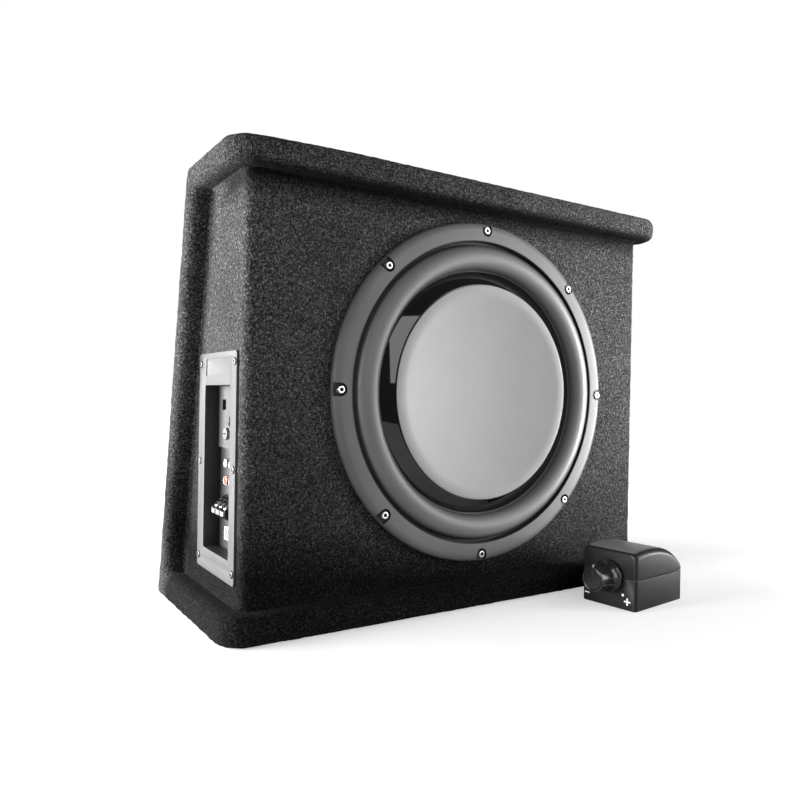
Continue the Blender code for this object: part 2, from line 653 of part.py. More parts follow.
bays = []
for y in POLES:
    b = box_bm((-1.0, 10.0), (y - 4.3, y + 4.3), (-2.2, 4.0))
    bmesh.ops.transform(b, matrix=Matrix.Translation((-231.0, 0, 97.5)) @ Matrix.Rotation(-slope, 4, "Y"), verts=b.verts[:])
    bays.append(b)
wire_ways = [box_bm((-240, -222), (y - 3.0, y + 3.0), (91.0, 93.9)) for y in POLES]
cut(block, [merged(bays)])
for k, y in enumerate(POLES):
    bm = socket_screw_bm(2.9, 1.9, 1.3, 0.4, 1.3, 1.0, 9)
    ob = finish(bm, f"terminal_screw_{k + 1}", "steel", smooth=True)
    here = Matrix.Translation((-231.0, y, 97.5)) @ Matrix.Rotation(-slope, 4, "Y") @ Matrix.Translation((4.6, 0, -2.2 + GAP + 0.4))
    here.translation *= MM
    ob.matrix_world = here

# speaker-level input socket, a white shell with an open mouth
hl = box("high_level_socket", (-223.5, PANEL_X - GAP), (-35.5, -17.0), (70.5, 81.5), "white")
cut(hl, [box_bm((-230, PANEL_X - 1.6), (-34.0, -18.5), (72.0, 80.0))])

# die-cast housing behind the end panel, open towards it, and the circuit board in it
AMP_X = (PANEL_X + 2.3, -152.0)
housing = box("amp_chassis", AMP_X, (-54.0, 14.0), (58.0, 205.0), "basket")
cut(housing, [box_bm((-230, -156.0), (-50.5, 10.5), (61.5, 201.5))])
board = box("amp_circuit_board", (-200.0, -158.0), (4.0, 5.6), (64.0, 199.0), "pcb")

# speaker wires inside the box, from the housing to the driver's tag strip
def wire(name, a, b, sag, slot):
    curve = bpy.data.curves.new(name, "CURVE")
    curve.dimensions = "3D"
    curve.bevel_depth = 1.3 * MM
    curve.bevel_resolution = 1
    curve.use_fill_caps = True
    curve.render_resolution_u = 0
    sp = curve.splines.new("POLY")
    n = 16
    sp.points.add(n)
    p0, p3 = Vector(a), Vector(b)
    p1 = p0 + Vector((45, 0, sag))
    p2 = p3 - Vector((45, 0, -sag))
    for i in range(n + 1):
        t = i / n
        p = (1 - t) ** 3 * p0 + 3 * (1 - t) ** 2 * t * p1 + 3 * (1 - t) * t * t * p2 + t ** 3 * p3
        sp.points[i].co = (*(p * MM), 1.0)
    ob = bpy.data.objects.new(name, curve)
    bpy.context.scene.collection.objects.link(ob)
    c, r, m = MATS[slot]
    curve.materials.append(material(slot, c, r, m))
    return ob


wire("speaker_wire_positive", (AMP_X[1] + 1.0, -30, 84), (DX - 17 - 1.0, -31.0, 82.5), -26, "red")
wire("speaker_wire_negative", (AMP_X[1] + 1.0, -36, 84), (DX - 17 - 1.0, -35.5, 82.5), -26, "black")

# ---- loose level control ---------------------------------------------------
# local frame: u across the face from its left foot, v back from the face, z up
cu, su = math.cos(REMOTE_TURN), math.sin(REMOTE_TURN)
RIGHT = Vector((cu, su, 0))                       # along the face, to its right
BACKWARD = Vector((-su, cu, 0))                   # from the face towards the rear
FOOT = Vector((REMOTE_AT[0], REMOTE_AT[1], 0)) - RIGHT * REMOTE_W
REMOTE = Matrix((
    (RIGHT.x, BACKWARD.x, 0, FOOT.x), (RIGHT.y, BACKWARD.y, 0, FOOT.y), (0, 0, 1, 0), (0, 0, 0, 1),
))
REMOTE_SIDE = [(0, 0), (0, 52.5), (3.5, 55.5), (20, 56.5), (44, 55.0), (62, 49.5), (73, 43.0), (78.5, 37.0), (80, 33.0), (80, 0)]


def remote_shell(name, low, high, z0, z1):
    """The part of the housing between two heights, hollow, with the split side open."""
    n = len(REMOTE_SIDE)
    bm = bmesh.new()
    a = [bm.verts.new((0, v, z)) for v, z in REMOTE_SIDE]
    b = [bm.verts.new((REMOTE_W, v, z)) for v, z in REMOTE_SIDE]
    bm.faces.new(a)
    bm.faces.new(b[::-1])
    for i in range(n):
        j = (i + 1) % n
        bm.faces.new((a[i], b[i], b[j], a[j]))
    bmesh.ops.recalc_face_normals(bm, faces=bm.faces[:])
    rim = [e for e in bm.edges if e.verts[0].co.x == e.verts[1].co.x and max(v.co.z for v in e.verts) > 5]
    bmesh.ops.bevel(bm, geom=rim, offset=3.0, segments=2, affect="EDGES", profile=0.5, clamp_overlap=True)
    bmesh.ops.transform(bm, matrix=REMOTE, verts=bm.verts[:])
    ob = finish(bm, name, "remote", smooth=True, angle=30)
    inner = prism_bm([(3.0, z0), (REMOTE_W - 3.0, z0), (REMOTE_W - 3.0, z1), (3.0, z1)], 3.0, 77.0, "Y")
    away = box_bm((-20, 100), (-20, 120), (low, high))
    shaft = cyl_bm(4.3, -10, 8, REMOTE_W / 2, REMOTE_SPLIT)
    for piece in (inner, away, shaft):
        bmesh.ops.transform(piece, matrix=REMOTE, verts=piece.verts[:])
    return cut(ob, [away, inner, shaft])


upper = remote_shell("remote_upper_shell", -10, REMOTE_SPLIT + 0.3, 10, 40)
lower = remote_shell("remote_lower_shell", REMOTE_SPLIT - 0.3, 100, 3, 60)

pot_bm = turned_bm([
    (0, -22), (2.9, -22), (2.9, -0.4), (3.9, -0.4), (3.9, 3.4), (8.0, 3.4), (8.0, 12.0), (0, 12.0),
], 14)
bmesh.ops.transform(pot_bm, matrix=REMOTE @ Matrix.Translation((REMOTE_W / 2, 0, REMOTE_SPLIT)) @ Matrix.Rotation(math.radians(-90), 4, "X"), verts=pot_bm.verts[:])
pot = finish(pot_bm, "remote_potentiometer", "steel", smooth=True)

knob_profile = [
    (3.3, 22.3), (0, 22.3), (0, KNOB_LONG), (10.2, KNOB_LONG), (11.0, KNOB_LONG - 0.8), (12.2, 10.0), (13.6, 6.5), (15.8, 3.2),
    (15.8, 1.0), (8.0, 1.0), (3.3, 6.0),
]
kb = turned_bm(knob_profile, 28)
big = finish(kb, "remote_knob", "remote", smooth=True)
ridge = prism_bm([(-1.1, 6.0), (1.1, 6.0), (1.1, 13.4), (-1.1, 13.4)], KNOB_LONG - 12, KNOB_LONG - 0.6, "Z")
rm = bpy.data.meshes.new("ridge")
bmesh.ops.scale(ridge, vec=(MM, MM, MM), verts=ridge.verts[:])
ridge.to_mesh(rm)
ridge.free()
ridge_ob = bpy.data.objects.new("remote_knob_ridge_tool", rm)
bpy.context.scene.collection.objects.link(ridge_ob)
ridge_ob.hide_render = True
ridge_ob.display_type = "WIRE"
ridge_ob.parent = big
add = big.modifiers.new("ridge", "BOOLEAN")
add.operation = "UNION"
add.solver = "EXACT"
add.object = ridge_ob
at = REMOTE @ Matrix.Translation((REMOTE_W / 2, 0, REMOTE_SPLIT))
turn = Matrix.Rotation(REMOTE_TURN, 4, "Z") @ Matrix.Rotation(math.radians(90), 4, "X")
big.matrix_world = Matrix.Translation(at.translation * MM) @ turn
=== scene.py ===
"""Looks of the powered car subwoofer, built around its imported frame. Metres, +Z up."""
import json
import math

import bmesh
import bpy
import numpy as np
from mathutils import Matrix, Vector, noise


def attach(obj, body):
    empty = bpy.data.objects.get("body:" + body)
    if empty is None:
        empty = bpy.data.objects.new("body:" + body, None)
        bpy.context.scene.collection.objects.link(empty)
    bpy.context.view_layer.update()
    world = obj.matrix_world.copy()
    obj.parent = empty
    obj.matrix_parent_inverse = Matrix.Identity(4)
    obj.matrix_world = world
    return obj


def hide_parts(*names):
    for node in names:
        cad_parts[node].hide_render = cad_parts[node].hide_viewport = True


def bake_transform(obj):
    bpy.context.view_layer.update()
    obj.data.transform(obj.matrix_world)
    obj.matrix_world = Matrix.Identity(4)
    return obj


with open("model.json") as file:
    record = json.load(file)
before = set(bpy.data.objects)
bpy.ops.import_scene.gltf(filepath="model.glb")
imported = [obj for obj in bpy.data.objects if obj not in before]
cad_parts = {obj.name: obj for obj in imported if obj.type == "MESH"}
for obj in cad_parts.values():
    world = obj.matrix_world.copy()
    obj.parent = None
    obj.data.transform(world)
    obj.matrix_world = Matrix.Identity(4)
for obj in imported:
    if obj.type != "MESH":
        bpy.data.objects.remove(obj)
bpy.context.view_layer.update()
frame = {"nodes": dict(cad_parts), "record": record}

NODES = frame["nodes"]
MM = 0.001
pi = math.pi
scene = bpy.context.scene

# ------------------------------------------------------------------ camera
cam_data = bpy.data.cameras.new("camera")
cam_data.sensor_width = 36.0
cam_data.lens = 32.242
cam_data.clip_start = 0.01
cam_data.clip_end = 50.0
cam = bpy.data.objects.new("camera", cam_data)
scene.collection.objects.link(cam)
YAW, PITCH, ROLL = 0.571053, -0.005346, 0.017305
fwd = Vector((math.sin(YAW) * math.cos(PITCH), math.cos(YAW) * math.cos(PITCH), math.sin(PITCH)))
right = Vector((math.cos(YAW), -math.sin(YAW), 0))
up = right.cross(fwd)
r2 = right * math.cos(ROLL) + up * math.sin(ROLL)
u2 = -right * math.sin(ROLL) + up * math.cos(ROLL)
CAM_AT = Vector((-0.432, -0.6194, 0.1967))
cam.matrix_world = Matrix((
    (r2.x, u2.x, -fwd.x, CAM_AT.x), (r2.y, u2.y, -fwd.y, CAM_AT.y), (r2.z, u2.z, -fwd.z, CAM_AT.z), (0, 0, 0, 1),
))
scene.camera = cam

# ------------------------------------------------------------------ sizes, in mm, as the frame has them
FRONT_Y, FACE_Y, BACK_Y = -97.0, -78.0, 97.0
WIDTH, HEIGHT, SLAB = 500.0, 400.0, 24.0
BACK_SLOPE, BACK_SLAB = 0.195, 18.0
SEC = math.hypot(1.0, BACK_SLOPE)
SIDE_FACE = 230.5
DX, DZ = 6.0, 201.5
BOLT_R = 154.5
BEZEL_Y, BEZEL_Z = (-66.0, 29.5), (41.0, 231.5)
WELL_Y, WELL_Z = (-52.7, 13.0), (59.5, 203.5)
BEZEL_X, PANEL_X = -232.5, -217.5
PLATE_X = PANEL_X - 2.2
REMOTE_AT, REMOTE_TURN = (112.0, -183.0), math.radians(-83.2)
RW, RD, RSPLIT, KNOB_LONG = 60.0, 80.0, 29.0, 27.0


def back_outer(z):
    return BACK_Y - BACK_SLOPE * z


def back_inner(z, extra=0.0):
    return back_outer(z) - (BACK_SLAB + extra) * SEC


# ------------------------------------------------------------------ materials
def new_mat(name):
    m = bpy.data.materials.new(name)
    m.use_nodes = True
    nt = m.node_tree
    return m, nt, nt.nodes["Principled BSDF"]


def link(nt, a, b):
    nt.links.new(a, b)


def coords(nt, scale=(1, 1, 1), rot=(0, 0, 0)):
    tc = nt.nodes.new("ShaderNodeTexCoord")
    mp = nt.nodes.new("ShaderNodeMapping")
    mp.inputs["Scale"].default_value = scale
    mp.inputs["Rotation"].default_value = rot
    link(nt, tc.outputs["Object"], mp.inputs["Vector"])
    return mp.outputs["Vector"]


def noise_node(nt, vec, scale, detail=3.0, rough=0.55):
    n = nt.nodes.new("ShaderNodeTexNoise")
    n.inputs["Scale"].default_value = scale
    n.inputs["Detail"].default_value = detail
    n.inputs["Roughness"].default_value = rough
    link(nt, vec, n.inputs["Vector"])
    return n.outputs["Fac"]


def ramp(nt, fac, stops):
    r = nt.nodes.new("ShaderNodeValToRGB")
    el = r.color_ramp.elements
    while len(el) < len(stops):
        el.new(0.5)
    for e, (p, c) in zip(el, stops):
        e.position = p
        e.color = (*c, 1.0) if len(c) == 3 else c
    link(nt, fac, r.inputs["Fac"])
    return r.outputs["Color"]


def map_range(nt, fac, a, b, c, d):
    m = nt.nodes.new("ShaderNodeMapRange")
    for k, v in zip(("From Min", "From Max", "To Min", "To Max"), (a, b, c, d)):
        m.inputs[k].default_value = v
    link(nt, fac, m.inputs["Value"])
    return m.outputs["Result"]


def bump(nt, bsdf, height, strength, distance, before=None):
    b = nt.nodes.new("ShaderNodeBump")
    b.inputs["Strength"].default_value = strength
    b.inputs["Distance"].default_value = distance
    link(nt, height, b.inputs["Height"])
    if before is not None:
        link(nt, before, b.inputs["Normal"])
    link(nt, b.outputs["Normal"], bsdf.inputs["Normal"])
    return b.outputs["Normal"]


def grained(name, low, high, rough=(0.4, 0.5), metal=0.0, scale=900.0, stretch=(1, 1, 1), depth=0.00004, strength=0.5,
            broad=18.0, spec=None, coat=None, coat_rough=None, ior=None, aniso=None, sheen=None):
    """A moulded, painted, sawn or turned surface: fine grain in the bump, slow change in colour and gloss."""
    m, nt, b = new_mat(name)
    v = coords(nt, stretch)
    fine = noise_node(nt, v, scale, 4.0, 0.6)
    slow = noise_node(nt, coords(nt), broad, 3.0, 0.5)
    mix = nt.nodes.new("ShaderNodeMath")
    mix.operation = "MULTIPLY_ADD"
    mix.inputs[1].default_value = 0.45
    link(nt, fine, mix.inputs[0])
    half = map_range(nt, slow, 0.3, 0.7, 0.0, 0.55)
    link(nt, half, mix.inputs[2])
    link(nt, ramp(nt, mix.outputs[0], [(0.15, low), (0.85, high)]), b.inputs["Base Color"])
    link(nt, map_range(nt, slow, 0.3, 0.7, rough[0], rough[1]), b.inputs["Roughness"])
    b.inputs["Metallic"].default_value = metal
    if spec is not None:
        b.inputs["Specular IOR Level"].default_value = spec
    if ior is not None:
        b.inputs["IOR"].default_value = ior
    if coat is not None:
        b.inputs["Coat Weight"].default_value = coat
        b.inputs["Coat Roughness"].default_value = coat_rough or 0.05
    if aniso is not None:
        b.inputs["Anisotropic"].default_value = aniso
    if sheen is not None:
        b.inputs["Sheen Weight"].default_value = sheen
        b.inputs["Sheen Roughness"].default_value = 0.5
    bump(nt, b, fine, strength, depth)
    return m


def carpet_material():
    """Needle-punched felt: matted short fibres, pale ones among dark ones, with slow change from the pile's lie."""
    m, nt, b = new_mat("carpet_felt")
    v = coords(nt)
    # fibres: two crossing stretched noises, so that the grain is short strokes and not dots
    fa = noise_node(nt, coords(nt, (1.0, 1.0, 0.45), (0.35, 0.2, 0.6)), 1150.0, 2.0, 0.6)
    fb = noise_node(nt, coords(nt, (0.5, 1.0, 1.0), (0.9, 0.5, 0.1)), 1000.0, 2.0, 0.6)
    clump = noise_node(nt, v, 420.0, 2.0, 0.6)
    slow = noise_node(nt, v, 14.0, 3.0, 0.55)
    mx = nt.nodes.new("ShaderNodeMath")
    mx.operation = "MAXIMUM"
    link(nt, fa, mx.inputs[0])
    link(nt, fb, mx.inputs[1])
    s1 = nt.nodes.new("ShaderNodeMath")
    s1.operation = "MULTIPLY_ADD"
    s1.inputs[1].default_value = 0.74
    link(nt, mx.outputs[0], s1.inputs[0])
    link(nt, map_range(nt, clump, 0.0, 1.0, 0.0, 0.26), s1.inputs[2])
    s2 = nt.nodes.new("ShaderNodeMath")
    s2.operation = "ADD"
    link(nt, s1.outputs[0], s2.inputs[0])
    link(nt, map_range(nt, slow, 0.3, 0.7, -0.012, 0.012), s2.inputs[1])
    col = ramp(nt, s2.outputs[0], [(0.43, (0.007, 0.007, 0.0071)), (0.53, (0.026, 0.026, 0.0262)), (0.63, (0.100, 0.100, 0.1005)), (0.73, (0.28, 0.28, 0.28))])
    # painted shade by place on the box, fitted to the picture and not to any dirt or wear: darker low down in front and
    # on the left
    run = nt.nodes.new("ShaderNodeVectorMath")
    run.operation = "DOT_PRODUCT"
    run.inputs[1].default_value = (0.12, 0.0, 1.0)
    link(nt, v, run.inputs[0])
    low = ramp(nt, map_range(nt, run.outputs["Value"], 0.0, 0.2, 0.0, 1.0), [(0.0, (0.18, 0.18, 0.18)), (0.10, (0.13, 0.13, 0.13)), (0.20, (0.25, 0.25, 0.25)), (0.33, (0.52, 0.52, 0.52)), (0.45, (0.62, 0.62, 0.62)), (0.60, (0.78, 0.78, 0.78)), (1.0, (1.0, 1.0, 1.0))])
    # none on the back, which the picture does not show
    xyz = nt.nodes.new("ShaderNodeSeparateXYZ")
    link(nt, v, xyz.inputs[0])
    opened = nt.nodes.new("ShaderNodeMath")
    opened.operation = "MAXIMUM"
    link(nt, low, opened.inputs[0])
    link(nt, map_range(nt, xyz.outputs["Y"], 0.055, 0.085, 0.0, 1.0), opened.inputs[1])
    # and painted shade in the crease under the top shelf, as in the picture
    crease = ramp(nt, map_range(nt, xyz.outputs["Z"], 0.34, 0.40, 0.0, 1.0), [(0.0, (1, 1, 1)), (0.22, (1, 1, 1)), (0.46, (0.36, 0.36, 0.36)), (0.57, (0.08, 0.08, 0.08)), (0.62, (0.25, 0.25, 0.25)), (0.69, (1, 1, 1)), (1.0, (1, 1, 1))])
    ahead = nt.nodes.new("ShaderNodeMath")
    ahead.operation = "MAXIMUM"
    link(nt, crease, ahead.inputs[0])
    beside = nt.nodes.new("ShaderNodeMath")
    beside.operation = "MAXIMUM"
    link(nt, map_range(nt, xyz.outputs["Y"], -0.055, -0.015, 0.0, 1.0), beside.inputs[0])
    link(nt, map_range(nt, xyz.outputs["X"], -0.226, -0.238, 0.0, 1.0), beside.inputs[1])
    link(nt, beside.outputs[0], ahead.inputs[1])
    both = nt.nodes.new("ShaderNodeMath")
    both.operation = "MULTIPLY"
    link(nt, opened.outputs[0], both.inputs[0])
    link(nt, ahead.outputs[0], both.inputs[1])
    low = both.outputs[0]
    shade = nt.nodes.new("ShaderNodeMix")
    shade.data_type = "RGBA"
    shade.blend_type = "MULTIPLY"
    shade.inputs[0].default_value = 1.0
    link(nt, col, shade.inputs[6])
    link(nt, low, shade.inputs[7])
    link(nt, shade.outputs[2], b.inputs["Base Color"])
    link(nt, map_range(nt, clump, 0.2, 0.8, 0.82, 1.0), b.inputs["Roughness"])
    b.inputs["Specular IOR Level"].default_value = 0.02
    b.inputs["Sheen Weight"].default_value = 0.01
    b.inputs["Sheen Roughness"].default_value = 0.6
    first = bump(nt, b, clump, 0.5, 0.0006)
    bump(nt, b, mx.outputs[0], 0.8, 0.0005, first)
    return m


def mdf_material():
    m, nt, b = new_mat("fibreboard")
    v = coords(nt)
    chips = noise_node(nt, coords(nt, (1.0, 1.0, 0.3)), 420.0, 4.0, 0.7)
    slow = noise_node(nt, v, 22.0, 3.0, 0.6)
    link(nt, ramp(nt, chips, [(0.35, (0.26, 0.17, 0.09)), (0.65, (0.46, 0.33, 0.20))]), b.inputs["Base Color"])
    link(nt, map_range(nt, slow, 0.3, 0.7, 0.75, 0.9), b.inputs["Roughness"])
    bump(nt, b, chips, 0.4, 0.0002)
    return m


def turned_metal(name, low, high, rough, broad=40.0, rings=2600.0, dish=0.0):
    """Metal with fine turning lines round the driver's axis."""
    m, nt, b = new_mat(name)
    w = nt.nodes.new("ShaderNodeTexWave")
    w.wave_type = "RINGS"
    w.rings_direction = "Y"
    w.inputs["Scale"].default_value = rings
    w.inputs["Distortion"].default_value = 1.5
    w.inputs["Detail"].default_value = 2.0
    tc = nt.nodes.new("ShaderNodeTexCoord")
    mp = nt.nodes.new("ShaderNodeMapping")
    mp.inputs["Location"].default_value = (-DX * MM, 0, -DZ * MM)
    link(nt, tc.outputs["Object"], mp.inputs["Vector"])
    link(nt, mp.outputs["Vector"], w.inputs["Vector"])
    slow = noise_node(nt, coords(nt), broad, 3.0, 0.6)
    link(nt, ramp(nt, slow, [(0.3, low), (0.7, high)]), b.inputs["Base Color"])
    link(nt, map_range(nt, slow, 0.3, 0.7, rough[0], rough[1]), b.inputs["Roughness"])
    b.inputs["Metallic"].default_value = 1.0
    first = None
    if dish:
        # the face is very slightly hollow, like a shallow saucer
        g = nt.nodes.new("ShaderNodeVectorMath")
        g.operation = "DOT_PRODUCT"
        flat = nt.nodes.new("ShaderNodeVectorMath")
        flat.operation = "MULTIPLY"
        flat.inputs[1].default_value = (1, 0, 1)
        link(nt, mp.outputs["Vector"], flat.inputs[0])
        link(nt, flat.outputs["Vector"], g.inputs[0])
        link(nt, flat.outputs["Vector"], g.inputs[1])
        first = bump(nt, b, g.outputs["Value"], 1.0, dish)
    bump(nt, b, w.outputs["Fac"], 0.12, 0.00002, first)
    return m


M = {}
M["carpet"] = carpet_material()
M["board"] = mdf_material()
M["ring"] = grained("ring_satin", (0.088, 0.088, 0.0885), (0.110, 0.110, 0.1105), (0.42, 0.50), scale=1500, depth=0.00003, strength=0.35, spec=0.24)
# near-black painted shade, put in the bolt pockets, on the ring's inner wall, in the groove at the roll's outer foot,
# in screw recesses and in knob slots
M["pocket"] = grained("pocket_painted_shade", (0.006, 0.006, 0.006), (0.012, 0.012, 0.012), (0.6, 0.7), scale=1500)
M["rubber"] = grained("surround_rubber", (0.094, 0.094, 0.095), (0.116, 0.116, 0.117), (0.42, 0.49), scale=1100, depth=0.00003, strength=0.4, spec=0.45, broad=12)


def radial_shade(mat, at, stops):
    """Painted shade near the feet of the roll: less colour there, to follow the dark edges in the picture; distances in
    mm from a point on the face.
    """
    nt = mat.node_tree
    b = next(n for n in nt.nodes if n.type == "BSDF_PRINCIPLED")
    flat = nt.nodes.new("ShaderNodeVectorMath")
    flat.operation = "MULTIPLY"
    flat.inputs[1].default_value = (1, 0, 1)
    link(nt, coords(nt), flat.inputs[0])
    d = nt.nodes.new("ShaderNodeVectorMath")
    d.operation = "DISTANCE"
    d.inputs[1].default_value = (at[0] * MM, 0, at[1] * MM)
    link(nt, flat.outputs["Vector"], d.inputs[0])
    lo, hi = stops[0][0], stops[-1][0]
    shade = ramp(nt, map_range(nt, d.outputs["Value"], lo * MM, hi * MM, 0.0, 1.0), [((r - lo) / (hi - lo), (k, k, k)) for r, k in stops])
    old = b.inputs["Base Color"].links[0].from_socket
    mix = nt.nodes.new("ShaderNodeMix")
    mix.data_type = "RGBA"
    mix.blend_type = "MULTIPLY"
    mix.inputs[0].default_value = 1.0
    nt.links.remove(b.inputs["Base Color"].links[0])
    link(nt, old, mix.inputs[6])
    link(nt, shade, mix.inputs[7])
    link(nt, mix.outputs[2], b.inputs["Base Color"])


# painted shade at both feet of the roll, the inner foot darker on the left and the outer foot darker on the right
radial_shade(M["rubber"], (DX - 5.0, DZ + 0.5), [(108.0, 0.03), (113.0, 0.08), (116.0, 0.30), (119.0, 0.80), (121.5, 1.0), (134.0, 1.0), (137.0, 0.6), (139.5, 0.06), (142.0, 0.03), (160.0, 0.02)])
M["cone_gloss"] = grained("cone_gloss", (0.003, 0.003, 0.003), (0.004, 0.004, 0.004), (0.03, 0.05), scale=60, depth=0.00001, strength=0.05, ior=1.62, spec=0.5)
M["disc"] = turned_metal("disc_satin", (0.103, 0.104, 0.104), (0.107, 0.108, 0.108), (0.39, 0.41), dish=1.0)
M["cone"] = grained("cone_fibre", (0.015, 0.015, 0.015), (0.04, 0.04, 0.04), (0.7, 0.85), scale=500, depth=0.0001)
M["spider"] = grained("spider_cotton", (0.35, 0.19, 0.06), (0.55, 0.33, 0.13), (0.8, 0.9), scale=1400, depth=0.0002)
M["former"] = grained("former_foil", (0.55, 0.55, 0.55), (0.7, 0.7, 0.7), (0.25, 0.35), metal=1.0, scale=900)
M["copper"] = grained("winding_copper", (0.62, 0.25, 0.11), (0.80, 0.38, 0.19), (0.25, 0.35), metal=1.0, scale=900, stretch=(0.2, 6.0, 0.2))
M["steel"] = turned_metal("turned_steel", (0.40, 0.40, 0.40), (0.52, 0.52, 0.52), (0.28, 0.38))
M["ferrite"] = grained("ferrite", (0.025, 0.025, 0.027), (0.06, 0.06, 0.065), (0.55, 0.7), scale=350, depth=0.00015)
M["basket"] = grained("powder_coat", (0.012, 0.012, 0.012), (0.028, 0.028, 0.028), (0.5, 0.6), scale=700, depth=0.0001)
M["screw_steel"] = grained("bright_zinc", (0.55, 0.55, 0.56), (0.75, 0.75, 0.76), (0.22, 0.34), metal=1.0, scale=1200, depth=0.00002, broad=120)
M["black_plastic"] = grained("black_moulded", (0.010, 0.010, 0.010), (0.022, 0.022, 0.022), (0.34, 0.44), scale=1300, depth=0.00003)
M["black_gloss"] = grained("black_gloss", (0.008, 0.008, 0.008), (0.014, 0.014, 0.014), (0.12, 0.18), scale=1300, depth=0.00002, strength=0.2, spec=0.7)
M["white_plastic"] = grained("white_nylon", (0.74, 0.74, 0.71), (0.84, 0.84, 0.81), (0.35, 0.45), scale=1300, depth=0.00003)
M["bezel"] = grained("bezel_grey", (0.070, 0.070, 0.0715), (0.080, 0.080, 0.0815), (0.46, 0.54), scale=1300, depth=0.00004, strength=0.5, spec=0.3)
M["bay_wall"] = grained("bay_wall_dark", (0.012, 0.012, 0.0125), (0.018, 0.018, 0.0185), (0.45, 0.55), scale=1300, depth=0.00004)
M["screw_dark"] = grained("dark_zinc", (0.13, 0.13, 0.132), (0.20, 0.20, 0.202), (0.34, 0.44), metal=1.0, scale=1200, depth=0.00002, broad=120)
M["end_panel"] = grained("end_panel_anodised", (0.030, 0.032, 0.034), (0.040, 0.042, 0.045), (0.40, 0.48), metal=0.3, scale=1000, stretch=(1, 1, 0.1), depth=0.00003)
M["control_plate"] = grained("control_plate_satin", (0.040, 0.040, 0.041), (0.052, 0.052, 0.053), (0.44, 0.52), scale=1300, depth=0.00003)
M["knob"] = grained("knob_grey", (0.110, 0.110, 0.112), (0.135, 0.135, 0.137), (0.38, 0.46), scale=1300, depth=0.00003)
M["jack_white"] = M["white_plastic"]
M["jack_red"] = grained("jack_red", (0.50, 0.07, 0.025), (0.64, 0.12, 0.05), (0.35, 0.45), scale=1300, depth=0.00003)
M["nickel"] = grained("jack_nickel", (0.62, 0.60, 0.55), (0.78, 0.76, 0.70), (0.16, 0.26), metal=1.0, scale=1200, depth=0.00002)
M["circuit_board"] = grained("solder_mask", (0.010, 0.09, 0.035), (0.02, 0.16, 0.06), (0.3, 0.4), scale=260, depth=0.0001)
M["wire_red"] = grained("wire_red", (0.42, 0.02, 0.012), (0.55, 0.035, 0.02), (0.3, 0.4), scale=900)
M["wire_black"] = grained("wire_black", (0.012, 0.012, 0.012), (0.025, 0.025, 0.025), (0.3, 0.4), scale=900)
M["remote"] = grained("remote_satin", (0.010, 0.010, 0.0105), (0.016, 0.016, 0.0165), (0.34, 0.42), scale=1500, depth=0.00002, strength=0.35, spec=0.17)


def paler_on_top(mat, colour, start, full):
    """Paler colour on the faces that look upward. It stands in for the soft light that the picture shows reflected there."""
    nt = mat.node_tree
    b = next(n for n in nt.nodes if n.type == "BSDF_PRINCIPLED")
    geo = nt.nodes.new("ShaderNodeNewGeometry")
    up = nt.nodes.new("ShaderNodeSeparateXYZ")
    link(nt, geo.outputs["Normal"], up.inputs[0])
    old = b.inputs["Base Color"].links[0].from_socket
    nt.links.remove(b.inputs["Base Color"].links[0])
    mix = nt.nodes.new("ShaderNodeMix")
    mix.data_type = "RGBA"
    link(nt, map_range(nt, up.outputs["Z"], start, full, 0.0, 1.0), mix.inputs[0])
    link(nt, old, mix.inputs[6])
    mix.inputs[7].default_value = (*colour, 1.0)
    link(nt, mix.outputs[2], b.inputs["Base Color"])


paler_on_top(M["remote"], (0.16, 0.16, 0.162), 0.80, 0.97)
M["remote_knob"] = grained("remote_knob_gloss", (0.010, 0.010, 0.011), (0.018, 0.018, 0.019), (0.14, 0.22), scale=1500, depth=0.00002, strength=0.25, spec=0.6)
M["mark"] = grained("mark_white", (0.85, 0.85, 0.85), (0.92, 0.92, 0.92), (0.5, 0.6), scale=1500)

# every carried-over node gets the procedural material of its slot
SLOTS = {s["node"]: s["material_slot"] for s in frame["record"]["subparts"]}
for n, ob in NODES.items():
    ob.data.materials.clear()
    ob.data.materials.append(M[SLOTS[n]])
    for p in ob.data.polygons:
        p.material_index = 0


# ------------------------------------------------------------------ mesh tools (all in mm until made)
def make(bm, name, mats, body, replaces=(), angle=32.0, smooth=True, matrix=None, recalc=True):
    if recalc:
        bmesh.ops.recalc_face_normals(bm, faces=bm.faces[:])
    if matrix is not None:
        bmesh.ops.transform(bm, matrix=matrix, verts=bm.verts[:])
    bmesh.ops.scale(bm, vec=(MM, MM, MM), verts=bm.verts[:])
    me = bpy.data.meshes.new(name)
    bm.to_mesh(me)
    bm.free()
    if smooth:
        me.shade_smooth()
        me.set_sharp_from_angle(angle=math.radians(angle))
    ob = bpy.data.objects.new(name, me)
    scene.collection.objects.link(ob)
    for m in (mats if isinstance(mats, (list, tuple)) else [mats]):
        me.materials.append(m)
    if body:
        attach(ob, body)
    if replaces:
        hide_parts(*([replaces] if isinstance(replaces, str) else replaces))
    return ob


def prism_bm(outline, low, high, axis):
    bm = bmesh.new()
    put = {"X": lambda p, t: (t, p[0], p[1]), "Y": lambda p, t: (p[0], t, p[1]), "Z": lambda p, t: (p[0], p[1], t)}[axis]
    a = [bm.verts.new(put(p, low)) for p in outline]
    b = [bm.verts.new(put(p, high)) for p in outline]
    n = len(outline)
    bm.faces.new(a[::-1])
    bm.faces.new(b)
    for i in range(n):
        bm.faces.new((a[i], a[(i + 1) % n], b[(i + 1) % n], b[i]))
    bmesh.ops.recalc_face_normals(bm, faces=bm.faces[:])
    return bm


